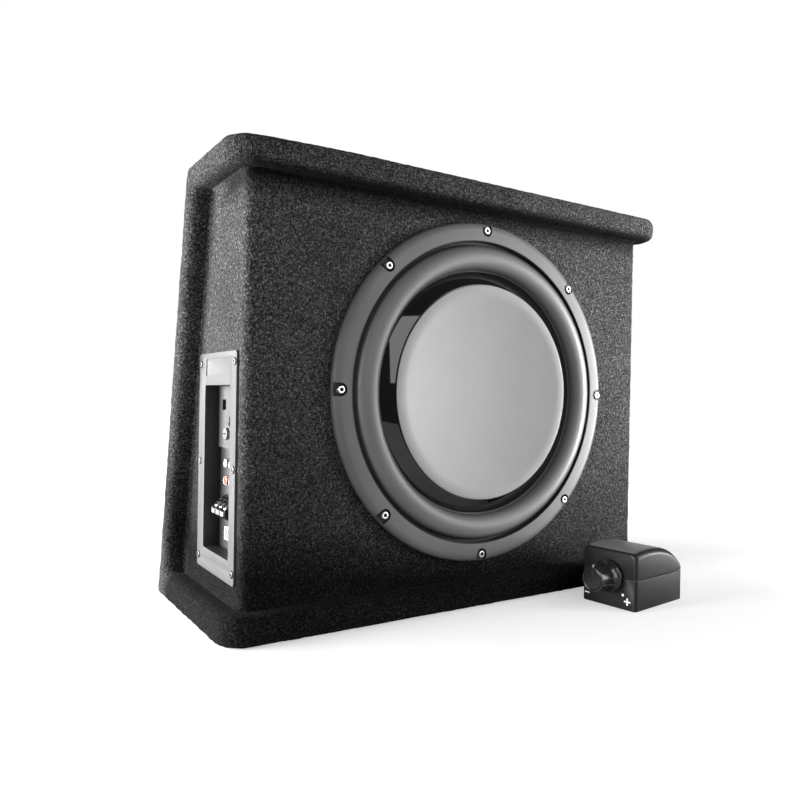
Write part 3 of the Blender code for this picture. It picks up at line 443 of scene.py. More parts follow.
def rounded(x, y, r, n=6):
    pts = []
    for cx, cy, start in [(x[0] + r, y[0] + r, 180), (x[1] - r, y[0] + r, 270), (x[1] - r, y[1] - r, 0), (x[0] + r, y[1] - r, 90)]:
        for i in range(n + 1):
            t = math.radians(start + 90.0 * i / n)
            pts.append((cx + r * math.cos(t), cy + r * math.sin(t)))
    return pts


def box_bm(x, y, z):
    return prism_bm([(x[0], y[0]), (x[1], y[0]), (x[1], y[1]), (x[0], y[1])], z[0], z[1], "Z")


def turned_bm(profile, seg):
    bm = bmesh.new()
    rings = []
    for r, h in profile:
        if r < 1e-6:
            rings.append([bm.verts.new((0, 0, h))])
        else:
            rings.append([bm.verts.new((r * math.cos(2 * pi * i / seg), r * math.sin(2 * pi * i / seg), h)) for i in range(seg)])
    n = len(rings)
    for k in range(n):
        a, b = rings[k], rings[(k + 1) % n]
        if len(a) == 1 and len(b) == 1:
            continue
        for i in range(seg):
            j = (i + 1) % seg
            if len(a) == 1:
                bm.faces.new((a[0], b[i], b[j]))
            elif len(b) == 1:
                bm.faces.new((a[i], b[0], a[j]))
            else:
                bm.faces.new((a[i], b[i], b[j], a[j]))
    bmesh.ops.recalc_face_normals(bm, faces=bm.faces[:])
    return bm


def fillet(points, radii, n=4):
    """A closed outline with its corners rounded: radii gives one radius for each point, 0 for sharp."""
    out = []
    k = len(points)
    for i, (p, r) in enumerate(zip(points, radii)):
        if r <= 0:
            out.append(p)
            continue
        a, b = Vector(points[i - 1]), Vector(points[(i + 1) % k])
        p = Vector(p)
        u, v = (a - p), (b - p)
        lu, lv = u.length, v.length
        u.normalize()
        v.normalize()
        d = min(r, lu * 0.48, lv * 0.48)
        s, e = p + u * d, p + v * d
        for j in range(n + 1):
            t = j / n
            q = (1 - t) ** 2 * s + 2 * (1 - t) * t * p + t * t * e
            out.append((q.x, q.y))
    return out


TO_DRIVER = Matrix.Translation((DX, 0, DZ)) @ Matrix.Rotation(math.radians(-90), 4, "X")
TOWARD_FRONT = Matrix.Rotation(math.radians(90), 4, "X")
TOWARD_LEFT = Matrix.Rotation(math.radians(-90), 4, "Y")


def merged(parts):
    out = bmesh.new()
    for p in parts:
        me = bpy.data.meshes.new("tmp")
        p.to_mesh(me)
        p.free()
        out.from_mesh(me)
        bpy.data.meshes.remove(me)
    return out


def moved(bm, matrix):
    bmesh.ops.transform(bm, matrix=matrix, verts=bm.verts[:])
    return bm


def to_object(bm, name):
    bmesh.ops.recalc_face_normals(bm, faces=bm.faces[:])
    me = bpy.data.meshes.new(name)
    bm.to_mesh(me)
    bm.free()
    ob = bpy.data.objects.new(name, me)
    scene.collection.objects.link(ob)
    return ob


def carve(bm, cutters, ops=None, mark_from=None, modifiers=None):
    """Exact booleans and then any other modifiers, all applied. Returns a new bmesh, still in mm.
    Faces that the cutters from mark_from on leave take material 1."""
    ob = to_object(bm, "carve_tool")
    ob.data.materials.append(None)
    ob.data.materials.append(None)
    extra = []
    for i, c in enumerate(cutters):
        co = to_object(c, f"carve_cut_{i}")
        co.data.materials.append(None)
        co.data.materials.append(None)
        if mark_from is not None and i >= mark_from:
            for p in co.data.polygons:
                p.material_index = 1
        mod = ob.modifiers.new(f"c{i}", "BOOLEAN")
        mod.operation = (ops or {}).get(i, "DIFFERENCE")
        mod.solver = "EXACT"
        mod.object = co
        extra.append(co)
    for kind, settings in (modifiers or []):
        mod = ob.modifiers.new(kind.lower(), kind)
        for k, v in settings.items():
            setattr(mod, k, v)
    bpy.context.view_layer.update()
    dg = bpy.context.evaluated_depsgraph_get()
    me = bpy.data.meshes.new_from_object(ob.evaluated_get(dg))
    out = bmesh.new()
    out.from_mesh(me)
    bpy.data.meshes.remove(me)
    for o in [ob, *extra]:
        d = o.data
        bpy.data.objects.remove(o)
        bpy.data.meshes.remove(d)
    return out


def fuzz(me, amount, scale=0.16, amount2=0.0, scale2=0.5):
    """Moves points along their normals by smooth noise, in mm."""
    n = len(me.vertices)
    co = np.empty(n * 3, np.float32)
    me.vertices.foreach_get("co", co)
    co = co.reshape(-1, 3)
    nor = np.array([v.normal for v in me.vertices], np.float32)
    d = np.array([
        amount * noise.noise(Vector(p) * scale) + amount2 * noise.noise(Vector(p) * scale2 + Vector((31, 7, 3))) for p in co.tolist()
    ], np.float32)
    co += nor * d[:, None]
    me.vertices.foreach_set("co", co.ravel())
    me.update()


def bolt_spots():
    for i in range(8):
        a = 2 * pi * i / 8
        yield DX + BOLT_R * math.sin(a), DZ + BOLT_R * math.cos(a), a


# ------------------------------------------------------------------ carpet: outer wrap
def smooth_noise(me, amount, scale, amount2, scale2):
    fuzz(me, amount, scale, amount2, scale2)


def outer_wrap():
    """Carpet round the two shelves and the back: a C in section, with soft rolled rims."""
    prof = [
        (FRONT_Y, 0), (BACK_Y, 0), (back_outer(HEIGHT), HEIGHT), (FRONT_Y, HEIGHT),
        (FRONT_Y, HEIGHT - SLAB), (back_inner(HEIGHT - SLAB), HEIGHT - SLAB), (back_inner(SLAB), SLAB), (FRONT_Y, SLAB),
    ]
    bm = prism_bm(prof, -WIDTH / 2 - 0.6, WIDTH / 2 + 0.6, "X")
    for v in bm.verts:
        if v.co.y > back_outer(v.co.z) - 1:
            v.co.y += 0.8
        if abs(v.co.y - FRONT_Y) < 1e-3:
            v.co.y -= 0.4
        if v.co.z > HEIGHT - 1:
            v.co.z += 0.1
        if v.co.z < 1:
            v.co.z += 0.1
    edges = [e for e in bm.edges if all(abs(v.co.y - FRONT_Y + 0.4) < 1e-3 for v in e.verts) and abs(e.verts[0].co.x - e.verts[1].co.x) < 1e-3]
    bmesh.ops.bevel(bm, geom=edges, offset=24.0, segments=12, affect="EDGES", profile=0.5)
    wl = bm.edges.layers.float.get("bevel_weight_edge") or bm.edges.layers.float.new("bevel_weight_edge")
    for e in bm.edges:
        if len(e.link_faces) != 2 or e.calc_face_angle(0) < math.radians(30):
            continue
        p, q = e.verts[0].co, e.verts[1].co
        mid = (p + q) / 2
        along_x = abs(p.x - q.x) > 400
        at_back = min(p.y, q.y) > back_outer(mid.z) - 3 or (mid.y > back_outer(mid.z) - 3)
        level = abs(p.z - q.z) < 1
        if level and mid.z > HEIGHT - 2:
            r = 4.0 if (along_x and at_back) else 8.0
        elif level and mid.z < 2:
            r = 2.2
        elif level:
            # the shelves' inner edges; the corner against the back is a crease
            if along_x and mid.y > FRONT_Y + 60:
                continue
            r = 8.5
        else:
            r = 2.6 if at_back else 8.0
        e[wl] = r / 9.0
    ob = to_object(bm, "outer_tool")
    mod = ob.modifiers.new("rims", "BEVEL")
    mod.width = 9.0
    mod.segments = 6
    mod.limit_method = "WEIGHT"
    mod.offset_type = "OFFSET"
    mod.use_clamp_overlap = True
    mod = ob.modifiers.new("remesh", "REMESH")
    mod.mode = "VOXEL"
    mod.voxel_size = 2.7
    mod.adaptivity = 0.0
    mod = ob.modifiers.new("soften", "SMOOTH")
    mod.factor = 0.5
    mod.iterations = 3
    bpy.context.view_layer.update()
    me = bpy.data.meshes.new_from_object(ob.evaluated_get(bpy.context.evaluated_depsgraph_get()))
    bpy.data.objects.remove(ob)
    # the top is lowered up to 2.4 mm at its left end to follow the outline; the CAD is level there
    for v in me.vertices:
        if v.co.z > HEIGHT - 16 and v.co.x < -140:
            across = min(1.0, (-140 - v.co.x) / 105)
            up = min(1.0, (v.co.z - HEIGHT + 16) / 15)
            v.co.z -= 2.4 * across * across * (3 - 2 * across) * up
    me.update()
    fuzz(me, 0.40, 0.11, 0.28, 0.33)
    out = bmesh.new()
    out.from_mesh(me)
    bpy.data.meshes.remove(me)
    # take away what lies behind the front wrap, which is inside the box
    gone = []
    for f in out.faces:
        c = f.calc_center_median()
        if abs(c.x) < SIDE_FACE - 3.5 and c.y > FACE_Y + 4.5 and SLAB - 8 < c.z < HEIGHT - SLAB + 8 and c.y < back_inner(c.z) + 6:
            gone.append(f)
    bmesh.ops.delete(out, geom=gone, context="FACES")
    bmesh.ops.recalc_face_normals(out, faces=out.faces[:])
    ob = make(out, "carpet_skin_outer", M["carpet"], None, recalc=False, smooth=True, angle=180)
    sol = ob.modifiers.new("thickness", "SOLIDIFY")
    sol.thickness = 0.0022
    sol.offset = -1.0
    sol.use_even_offset = False
    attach(ob, "enclosure")
    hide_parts("carpet_outer_wrap")
    return ob


outer = outer_wrap()


# ------------------------------------------------------------------ carpet: front wrap
def front_wrap():
    """A sheet folded round the baffle and both sides, in even squares, open behind the driver and the amplifier.
    It flares where it is tucked against the shelves and the back."""
    r = 8.0
    so, fy = SIDE_FACE, FACE_Y
    step = 2.9
    z0, z1 = SLAB - 0.4, HEIGHT - SLAB + 0.4
    nz = int((z1 - z0) / step)
    n_side = 52
    n_arc = 7
    n_front = int((2 * so - 2 * r) / step)
    cols = []
    for i in range(n_side):
        cols.append(("L", i / n_side))
    for i in range(n_arc):
        cols.append(("a", i / n_arc))
    for i in range(n_front + 1):
        cols.append(("F", i / n_front))
    for i in range(1, n_arc + 1):
        cols.append(("b", i / n_arc))
    for i in range(1, n_side + 1):
        cols.append(("R", i / n_side))

    def flare(d, rad):
        return 0.0 if d >= rad else rad - math.sqrt(max(rad * rad - (rad - d) ** 2, 0.0))

    bm = bmesh.new()
    grid = []
    for k in range(nz + 1):
        z = z0 + (z1 - z0) * k / nz
        yb = back_inner(z) + 0.8
        fz = flare(min(z - z0, z1 - z) + 0.25, 4.2)
        row = []
        for kind, t in cols:
            if kind in "LR":
                y = (yb + (fy + r - yb) * t) if kind == "L" else (fy + r + (yb - fy - r) * t)
                fl = max(flare(abs(yb - y) + 0.2, 5.0), fz)
                p = ((-so - fl) if kind == "L" else (so + fl), y, z)
            elif kind in "ab":
                rr = r + fz
                a = (pi if kind == "a" else 1.5 * pi) + 0.5 * pi * t
                cx = (-so + r) if kind == "a" else (so - r)
                p = (cx + rr * math.cos(a), fy + r + rr * math.sin(a), z)
            else:
                p = (-so + r + (2 * so - 2 * r) * t, fy - fz, z)
            row.append(bm.verts.new(p))
        grid.append(row)
    for k in range(nz):
        for i in range(len(cols) - 1):
            a, b, c, d = grid[k][i], grid[k][i + 1], grid[k + 1][i + 1], grid[k + 1][i]
            x, y, z = ((a.co + b.co + c.co + d.co) / 4)[:]
            if y < fy + 1 and math.hypot(x - DX, z - DZ) < 150:
                continue
            if x < -so + 1 and WELL_Y[0] - 5 < y < WELL_Y[1] + 5 and WELL_Z[0] - 5 < z < WELL_Z[1] + 5:
                continue
            bm.faces.new((a, b, c, d))
    loose = [v for v in bm.verts if not v.link_faces]
    bmesh.ops.delete(bm, geom=loose, context="VERTS")
    bmesh.ops.recalc_face_normals(bm, faces=bm.faces[:])
    f = next(f for f in bm.faces if abs(f.calc_center_median().y - fy) < 0.1)
    if f.normal.y > 0:
        bmesh.ops.reverse_faces(bm, faces=bm.faces[:])
    me = bpy.data.meshes.new("front_tool")
    bm.to_mesh(me)
    bm.free()
    fuzz(me, 0.32, 0.11, 0.24, 0.33)
    out = bmesh.new()
    out.from_mesh(me)
    bpy.data.meshes.remove(me)
    ob = make(out, "carpet_skin_front", M["carpet"], None, recalc=False, smooth=True, angle=180)
    sol = ob.modifiers.new("thickness", "SOLIDIFY")
    sol.thickness = 0.0022
    sol.offset = -1.0
    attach(ob, "enclosure")
    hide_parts("carpet_front_wrap")
    return ob


front = front_wrap()


# ------------------------------------------------------------------ boards, with their edges rounded over under the carpet
def board(bm, node, r):
    b = carve(bm, [], modifiers=[("BEVEL", dict(width=r, segments=4, limit_method="ANGLE", angle_limit=math.radians(50)))])
    make(b, f"{node}_rounded", M["board"], "enclosure", node, angle=30)


def plan(x, y_front, y_back, r):
    pts = []
    for k in range(13):
        t = math.radians(180 + 90 * k / 12)
        pts.append((-x + r + r * math.cos(t), y_front + r + r * math.sin(t)))
    for k in range(13):
        t = math.radians(270 + 90 * k / 12)
        pts.append((x - r + r * math.cos(t), y_front + r + r * math.sin(t)))
    return pts + [(x, y_back), (-x, y_back)]


board(prism_bm(plan(246.5, FRONT_Y + 3.5, back_outer(HEIGHT) - 3.6 * SEC, 21.0), 379.4, 396.6, "Z"), "top_board", 6.0)
board(prism_bm(plan(246.5, FRONT_Y + 3.5, back_outer(SLAB) - 3.6 * SEC, 21.0), 3.6, 20.6, "Z"), "bottom_board", 4.5)
bp = [(back_outer(20.9) - 3.5 * SEC, 20.9), (back_outer(379.1) - 3.5 * SEC, 379.1), (back_inner(379.1, -3.4), 379.1), (back_inner(20.9, -3.4), 20.9)]
board(prism_bm(bp, -246.5, 246.5, "X"), "back_panel", 1.5)

# ------------------------------------------------------------------ trim ring
def pocket_bm(x, z, a, r=5.7, n=16, deep=-83.2):
    pts = [(r * math.cos(pi * i / n), -r * math.sin(pi * i / n)) for i in range(n + 1)]
    pts += [(-r - 0.6, 14.0), (r + 0.6, 14.0)]
    return prism_bm([(x + u * math.cos(a) + v * math.sin(a), z - u * math.sin(a) + v * math.cos(a)) for u, v in pts], -95, deep, "Y")


ring_prof = fillet(
    [(143.5, -82.7), (143.5, -87.0), (156.5, -87.0), (161.0, -84.2), (161.0, -78.3), (158.8, -78.3), (158.8, -80.6), (152.6, -80.6), (152.6, -82.7)],
    [0, 0.9, 4.0, 3.0, 0.5, 0, 0, 0, 0], 6)
ring_bm = turned_bm(ring_prof, 288)
bmesh.ops.transform(ring_bm, matrix=TO_DRIVER, verts=ring_bm.verts[:])
# the bolt pockets' walls take the near-black material, as painted shade
ring_bm = carve(ring_bm, [merged([pocket_bm(x, z, a) for x, z, a in bolt_spots()])], mark_from=0,
                modifiers=[("BEVEL", dict(width=0.35, segments=2, limit_method="ANGLE", angle_limit=math.radians(50), harden_normals=False))])
ring = make(ring_bm, "trim_ring_fine", [M["ring"], M["pocket"]], "enclosure", "trim_ring", angle=28)
# painted shade on the ring's inner wall, by the near-black material
inner = min(math.hypot(v.co.x - DX * MM, v.co.z - DZ * MM) for v in ring.data.vertices)
for p in ring.data.polygons:
    if math.hypot(p.center.x - DX * MM, p.center.z - DZ * MM) < inner + 0.9 * MM:
        p.material_index = 1

# ------------------------------------------------------------------ surround; a weight for each point across the roll is worked out but not used
def half_arc(cr, cy, ra, rb, n, back=False):
    out = []
    for i in range(n + 1):
        t = pi * i / n
        if back:
            t = pi - t
        # a roll is a little squarer than a half circle at its feet
        out.append((cr - ra * math.cos(t), cy - rb * math.sin(t) ** 0.9))
    return out


roll = [(116.0, -82.3), (116.5, -82.5)] + half_arc(128.3, -82.6, 11.7, 10.6, 40) + [(140.4, -81.9), (141.0, -81.6), (152.0, -81.6), (152.0, -80.6)]
roll += half_arc(128.3, -80.9, 10.2, 10.4, 30, back=True) + [(116.0, -80.7)]
sur_bm = turned_bm(roll, 256)
bmesh.ops.transform(sur_bm, matrix=TO_DRIVER, verts=sur_bm.verts[:])
surround = make(sur_bm, "surround_roll", [M["rubber"], M["pocket"]], None, angle=40)
# painted shade in the groove: the roll's outer foot beyond 140.3 mm takes the near-black material
for p in surround.data.polygons:
    if math.hypot(p.center.x - DX * MM, p.center.z - DZ * MM) > 140.3 * MM:
        p.material_index = 1
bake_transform(surround)
co = np.array([v.co for v in surround.data.vertices], float)
rad = np.hypot(co[:, 0] - DX * MM, co[:, 2] - DZ * MM) / MM
t = np.clip((142.6 - rad) / (142.6 - 117.4), 0, 1)
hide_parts("surround")

# ------------------------------------------------------------------ cone cover and disc
cover_prof = fillet(
    [(115.0, -80.7), (115.0, -82.0), (102.5, -88.7), (101.0, -88.7), (0, -88.7), (0, -87.3), (101.9, -87.3), (110.5, -82.6), (110.5, -80.7)],
    [0, 0.5, 0.3, 0, 0, 0, 0, 0, 0], 5)
cover = make(turned_bm(cover_prof, 288), "cone_cover_gloss", M["cone_gloss"], "cone_assembly", "cone_cover", angle=25, matrix=TO_DRIVER)
disc_prof = [(0, -90.2), (30, -90.2), (60, -90.2), (90, -90.2), (101.3, -90.2), (101.7, -90.08), (101.93, -89.85), (102.0, -89.6), (102.0, -89.0), (0, -89.0)]
disc = make(turned_bm(disc_prof, 288), "cover_disc_satin", M["disc"], "cone_assembly", "cover_disc", angle=35, matrix=TO_DRIVER)


# ------------------------------------------------------------------ screws
def socket_screw(head_r, head_h, shank_r, length, hexa, deep, seg=48, dish=0.0):
    """Socket-head screw with a rounded rim and a hexagon recess. Head towards +Z, underside at 0."""
    bm = bmesh.new()

    def circle(r, h):
        return [bm.verts.new((r * math.cos(2 * pi * i / seg), r * math.sin(2 * pi * i / seg), h)) for i in range(seg)]

    def hexagon(r, h):
        out = []
        for i in range(seg):
            t = 2 * pi * i / seg
            k = pi / 3
            d = r * math.cos(k / 2) / math.cos((t % k) - k / 2)
            out.append(bm.verts.new((d * math.cos(t), d * math.sin(t), h)))
        return out

    loops = [circle(shank_r, -length), circle(shank_r, 0), circle(head_r, 0), circle(head_r, head_h - 0.9)]
    for i in range(1, 6):
        t = 0.5 * pi * i / 5
        loops.append(circle(head_r - 0.8 + 0.8 * math.cos(t), head_h - 0.9 + 0.9 * math.sin(t)))
    loops.append(circle(hexa * 1.22, head_h - dish))
    loops.append(hexagon(hexa * 1.06, head_h - dish - 0.05))
    loops.append(hexagon(hexa, head_h - 0.35 - dish))
    loops.append(hexagon(hexa, head_h - deep))
    bm.faces.new(loops[0][::-1])
    bm.faces.new(loops[-1])
    for a, b in zip(loops, loops[1:]):
        for i in range(seg):
            j = (i + 1) % seg
            f = bm.faces.new((a[i], a[j], b[j], b[i]))
    bmesh.ops.recalc_face_normals(bm, faces=bm.faces[:])
    # the recess is darker, with painted shade in it
    for f in bm.faces:
        c = f.calc_center_median()
        if math.hypot(c.x, c.y) < hexa * 1.01 and c.z > head_h - deep - 0.1:
            f.material_index = 1
    return bm


def screw_objects(names, base, places, body, smooth_angle=35, metal="screw_steel"):
    me = None
    for name, place in zip(names, places):
        if me is None:
            b = base()
            ob = make(b, f"{name}_fine", [M[metal], M["pocket"]], None, angle=smooth_angle)
            me = ob.data
        else:
            ob = bpy.data.objects.new(f"{name}_fine", me)
            scene.collection.objects.link(ob)
        pm = place.copy()
        pm.translation *= MM
        ob.matrix_world = pm
        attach(ob, body)
        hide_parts(name)


screw_objects(
    [f"driver_screw_{i + 1}" for i in range(8)],
    lambda: socket_screw(3.5, 3.9, 2.1, 27.0, 1.75, 2.4),
    [Matrix.Translation((x, -83.6, z)) @ Matrix.Rotation(a + 0.4 * k, 4, "Y") @ TOWARD_FRONT for k, (x, z, a) in enumerate(bolt_spots())],
    "enclosure")

BEZEL_SCREWS = [(y, z) for z in (222.5, 135.0, 50.5) for y in (24.5, -62.4)]
screw_objects(
    [f"bezel_screw_{i + 1}" for i in range(6)],
    lambda: socket_screw(3.2, 1.2, 1.7, 15.0, 1.35, 0.9, 36),
    [Matrix.Translation((BEZEL_X - 0.05, y, z)) @ Matrix.Rotation(0.7 * k, 4, "X") @ TOWARD_LEFT for k, (y, z) in enumerate(BEZEL_SCREWS)],
    "enclosure", metal="screw_dark")


# ------------------------------------------------------------------ bezel with the walls of the bay
def across_bm(r, x0, x1, y, z, seg=32):
    bm = turned_bm([(0, x0), (r, x0), (r, x1), (0, x1)], seg)
    bmesh.ops.transform(bm, matrix=Matrix.Translation((0, y, z)) @ Matrix.Rotation(math.radians(90), 4, "Y"), verts=bm.verts[:])
    return bm


plate_bm = prism_bm(rounded(BEZEL_Y, BEZEL_Z, 3.0, 8), BEZEL_X, -SIDE_FACE - 0.3, "X")
sleeve = prism_bm(rounded((WELL_Y[0] - 2.2, WELL_Y[1] + 2.2), (WELL_Z[0] - 2.2, WELL_Z[1] + 2.2), 3.0, 6), -SIDE_FACE - 0.8, PANEL_X - 0.3, "X")
bz = carve(plate_bm, [
    sleeve,
    prism_bm(rounded((-51.5, 11.0), (211.5, 226.5), 1.2, 6), -240, BEZEL_X + 0.8, "X"),
    merged([across_bm(2.4, -240, -225, y, z) for y, z in BEZEL_SCREWS]),
    prism_bm(rounded(WELL_Y, WELL_Z, 2.2, 6), -240, -210, "X"),
], ops={0: "UNION"}, mark_from=3,
    modifiers=[("BEVEL", dict(width=0.45, segments=3, limit_method="ANGLE", angle_limit=math.radians(50)))])
for f in bz.faces:
    c = f.calc_center_median()
    if c.x < BEZEL_X + 0.5 or not (WELL_Y[0] - 1 < c.y < WELL_Y[1] + 1 and WELL_Z[0] - 1 < c.z < WELL_Z[1] + 1):
        f.material_index = 0
bezel = make(bz, "amp_bezel_fine", [M["bezel"], M["bay_wall"]], "enclosure", "amp_bezel", angle=30)

# ------------------------------------------------------------------ controls in the bay
KNOBS = [("gain_knob", "gain_control", -10.5, 161.2), ("crossover_knob", "crossover_control", -36.0, 161.2), ("bass_boost_knob", "bass_boost_control", -36.0, 187.0)]


def small_knob():
    """Fluted trimmer knob with a pointer slot, panel face at 0, along +Z."""
    seg = 108
    bm = bmesh.new()

    def loop(r, h, flute):
        out = []
        for i in range(seg):
            t = 2 * pi * i / seg
            rr = r - flute * (0.5 - 0.5 * math.cos(18 * t)) ** 2
            out.append(bm.verts.new((rr * math.cos(t), rr * math.sin(t), h)))
        return out

    loops = [loop(2.0, -6, 0), loop(2.0, 0.3, 0), loop(5.4, 0.3, 0), loop(5.5, 0.45, 0), loop(5.5, 0.7, 0.05), loop(5.42, 0.85, 0.3), loop(5.36, 2.1, 0.3),
             loop(5.2, 2.45, 0.2), loop(4.9, 2.58, 0.05), loop(4.5, 2.6, 0), loop(3.6, 2.5, 0)]
    bm.faces.new(loops[0][::-1])
    bm.faces.new(loops[-1])
    for a, b in zip(loops, loops[1:]):
        for i in range(seg):
            j = (i + 1) % seg
            bm.faces.new((a[i], a[j], b[j], b[i]))
    bmesh.ops.recalc_face_normals(bm, faces=bm.faces[:])
    slot = prism_bm(rounded((-0.6, 0.6), (-3.4, 3.4), 0.5, 4), 1.6, 9, "Z")
    # the pointer slot takes the near-black material, as painted shade
    return carve(bm, [slot], mark_from=0)


for name, body, y, z in KNOBS:
    b = small_knob()
    place = Matrix.Translation((PLATE_X, y, z)) @ TOWARD_LEFT
    make(b, f"{name}_fine", [M["knob"], M["pocket"]], body, name, angle=38, matrix=place)

sw_y, sw_z = -18.0, 172.0
b = prism_bm(rounded((sw_y - 1.5, sw_y + 1.5), (sw_z - 3.5, sw_z - 0.5), 0.35, 4), PLATE_X - 2.2, PLATE_X + 5.5, "X")
b = carve(b, [prism_bm([(sw_y - 3, sw_z - 2.2), (sw_y + 3, sw_z - 2.2), (sw_y + 3, sw_z - 1.8), (sw_y - 3, sw_z - 1.8)], PLATE_X - 4, PLATE_X - 1.8, "X")],
          modifiers=[("BEVEL", dict(width=0.12, segments=2, limit_method="ANGLE", angle_limit=math.radians(50)))])
make(b, "phase_switch_fine", M["black_plastic"], "phase_switch", "phase_switch_slider", angle=30)

# a thin dark frame round the switch, and pointer marks round the knobs, raised like print on the plate
for nm, outer_o, inner_o, mat in [
    ("switch_frame", ((sw_y - 3.3, sw_y + 3.3), (sw_z - 4.9, sw_z + 4.9)), ((sw_y - 2.1, sw_y + 2.1), (sw_z - 4.1, sw_z + 4.1)), "black_plastic"),
]:
    o = rounded(outer_o[0], outer_o[1], 0.6, 4)
    i_ = rounded(inner_o[0], inner_o[1], 0.4, 4)
    bm = bmesh.new()
    rings = []
    for pts, x in ((o, PLATE_X - 0.02), (o, PLATE_X - 0.42), (i_, PLATE_X - 0.42), (i_, PLATE_X - 0.02)):
        rings.append([bm.verts.new((x, p[0], p[1])) for p in pts])
    for a_, b_ in zip(rings, rings[1:] + rings[:1]):
        for k in range(len(o)):
            j = (k + 1) % len(o)
            bm.faces.new((a_[k], a_[j], b_[j], b_[k]))
    make(bm, nm, M[mat], "enclosure", angle=30)

marks = []
for _, _, y, z in KNOBS:
    for k in range(11):
        t = math.radians(-140 + 28 * k)
        cy, cz = y - 6.9 * math.sin(t), z + 6.9 * math.cos(t)
        m1 = prism_bm([(-0.13, -0.4), (0.13, -0.4), (0.13, 0.4), (-0.13, 0.4)], -0.06, 0.0, "X")
        bmesh.ops.transform(m1, matrix=Matrix.Translation((PLATE_X - 0.01, cy, cz)) @ Matrix.Rotation(t, 4, "X"), verts=m1.verts[:])
        marks.append(m1)
make(merged(marks), "knob_ticks", M["mark"], "enclosure", smooth=False)

# sockets and jacks
sock = prism_bm(rounded((-6.6, 4.6), (180.9, 192.1), 0.6, 4), PLATE_X + 2.6, PLATE_X + 15.0, "X")
sock = carve(sock, [prism_bm(rounded((-5.4, 3.4), (182.9, 190.1), 0.4, 3), PLATE_X - 5, PLATE_X + 12.0, "X"),
                    prism_bm([(-3.2, 189.6), (1.2, 189.6), (1.2, 191.2), (-3.2, 191.2)], PLATE_X - 5, PLATE_X + 9.0, "X")],
             modifiers=[("BEVEL", dict(width=0.2, segments=2, limit_method="ANGLE", angle_limit=math.radians(50)))])
make(sock, "remote_socket_fine", M["black_plastic"], "enclosure", "remote_socket", angle=30)
pins = merged([box_bm((PLATE_X + 4.0, PLATE_X + 11.5), (-3.9 + 1.2 * k, -3.5 + 1.2 * k), (183.2, 183.7)) for k in range(5)])
make(pins, "remote_socket_pins", M["nickel"], "enclosure", smooth=False)

RCA = [(-25.5, 137.0), (-25.5, 122.5), (-38.5, 137.0), (-38.5, 122.5)]
for i, (y, z) in enumerate(RCA):
    place = Matrix.Translation((PANEL_X, y, z)) @ TOWARD_LEFT
    ins = fillet([(0, -8), (3.0, -8), (3.0, 0.3), (5.4, 0.3), (5.4, 1.8), (4.3, 1.8), (4.3, 2.4), (0, 2.4)], [0, 0, 0, 0.3, 0.5, 0, 0.2, 0], 4)
    make(turned_bm(ins, 64), f"rca_jack_{i + 1}_base", M["jack_white" if i % 2 == 0 else "jack_red"], "enclosure", f"rca_jack_{i + 1}",
         angle=35, matrix=place)
    shell = fillet([(4.12, 2.2), (4.12, 8.6), (3.9, 9.2), (3.55, 9.2), (3.45, 8.8), (3.45, 2.2)], [0, 0.3, 0.2, 0.2, 0.2, 0], 3)
    make(turned_bm(shell, 64), f"rca_jack_{i + 1}_sleeve", M["nickel"], "enclosure", angle=35, matrix=place)
    core = fillet([(0, 2.2), (3.2, 2.2), (3.2, 8.4), (2.7, 9.0), (1.62, 9.0), (1.62, 4.0), (0, 4.0)], [0, 0, 0.4, 0.3, 0.2, 0, 0], 3)
    make(turned_bm(core, 64), f"rca_jack_{i + 1}_core", M["jack_white" if i % 2 == 0 else "jack_red"], "enclosure", angle=35, matrix=place)

# power terminals
TB_Y = (-37.5, -4.5)
tbx = PANEL_X - 0.3
tb_prof = [(tbx, 84.5), (-227.5, 90.0), (-231.0, 93.5), (-231.0, 97.5), (-222.0, 105.5), (tbx, 108.0)]
tb = prism_bm([(p[0], p[1]) for p in tb_prof], TB_Y[0], TB_Y[1], "Y")
POLES = [TB_Y[0] + 5.5 + 11.0 * k for k in range(3)]
slope = math.atan2(105.5 - 97.5, 9.0)
cuts = []
for y in POLES:
    c1 = box_bm((-1.0, 10.0), (y - 4.3, y + 4.3), (-2.2, 4.0))
    bmesh.ops.transform(c1, matrix=Matrix.Translation((-231.0, 0, 97.5)) @ Matrix.Rotation(-slope, 4, "Y"), verts=c1.verts[:])
    cuts.append(c1)
tb = carve(tb, [merged(cuts)],
           modifiers=[("BEVEL", dict(width=0.3, segments=2, limit_method="ANGLE", angle_limit=math.radians(30)))])
make(tb, "terminal_block_fine", M["black_gloss"], "enclosure", "terminal_block", angle=28)
here = Matrix.Translation((-231.0, 0, 97.5)) @ Matrix.Rotation(-slope, 4, "Y")
screw_objects(
    [f"terminal_screw_{i + 1}" for i in range(3)],
    lambda: socket_screw(2.9, 1.9, 1.3, 0.4, 1.2, 1.0, 36),
    [here @ Matrix.Translation((4.6, y, -2.2 + 0.7)) for y in POLES],
    "enclosure")
clamp = []
for y in POLES:
    c1 = box_bm((-0.1, 8.8), (y - 3.7, y + 3.7), (-2.12, -1.62))
    bmesh.ops.transform(c1, matrix=here, verts=c1.verts[:])
    clamp.append(c1)
    # the clamp's turned-down lip in front of the pole
    lip = prism_bm(rounded((y - 4.1, y + 4.1), (92.9, 96.9), 0.5, 3), -231.35, -231.02, "X")
    clamp.append(lip)
make(merged(clamp), "terminal_clamps", M["nickel"], "enclosure", smooth=False)

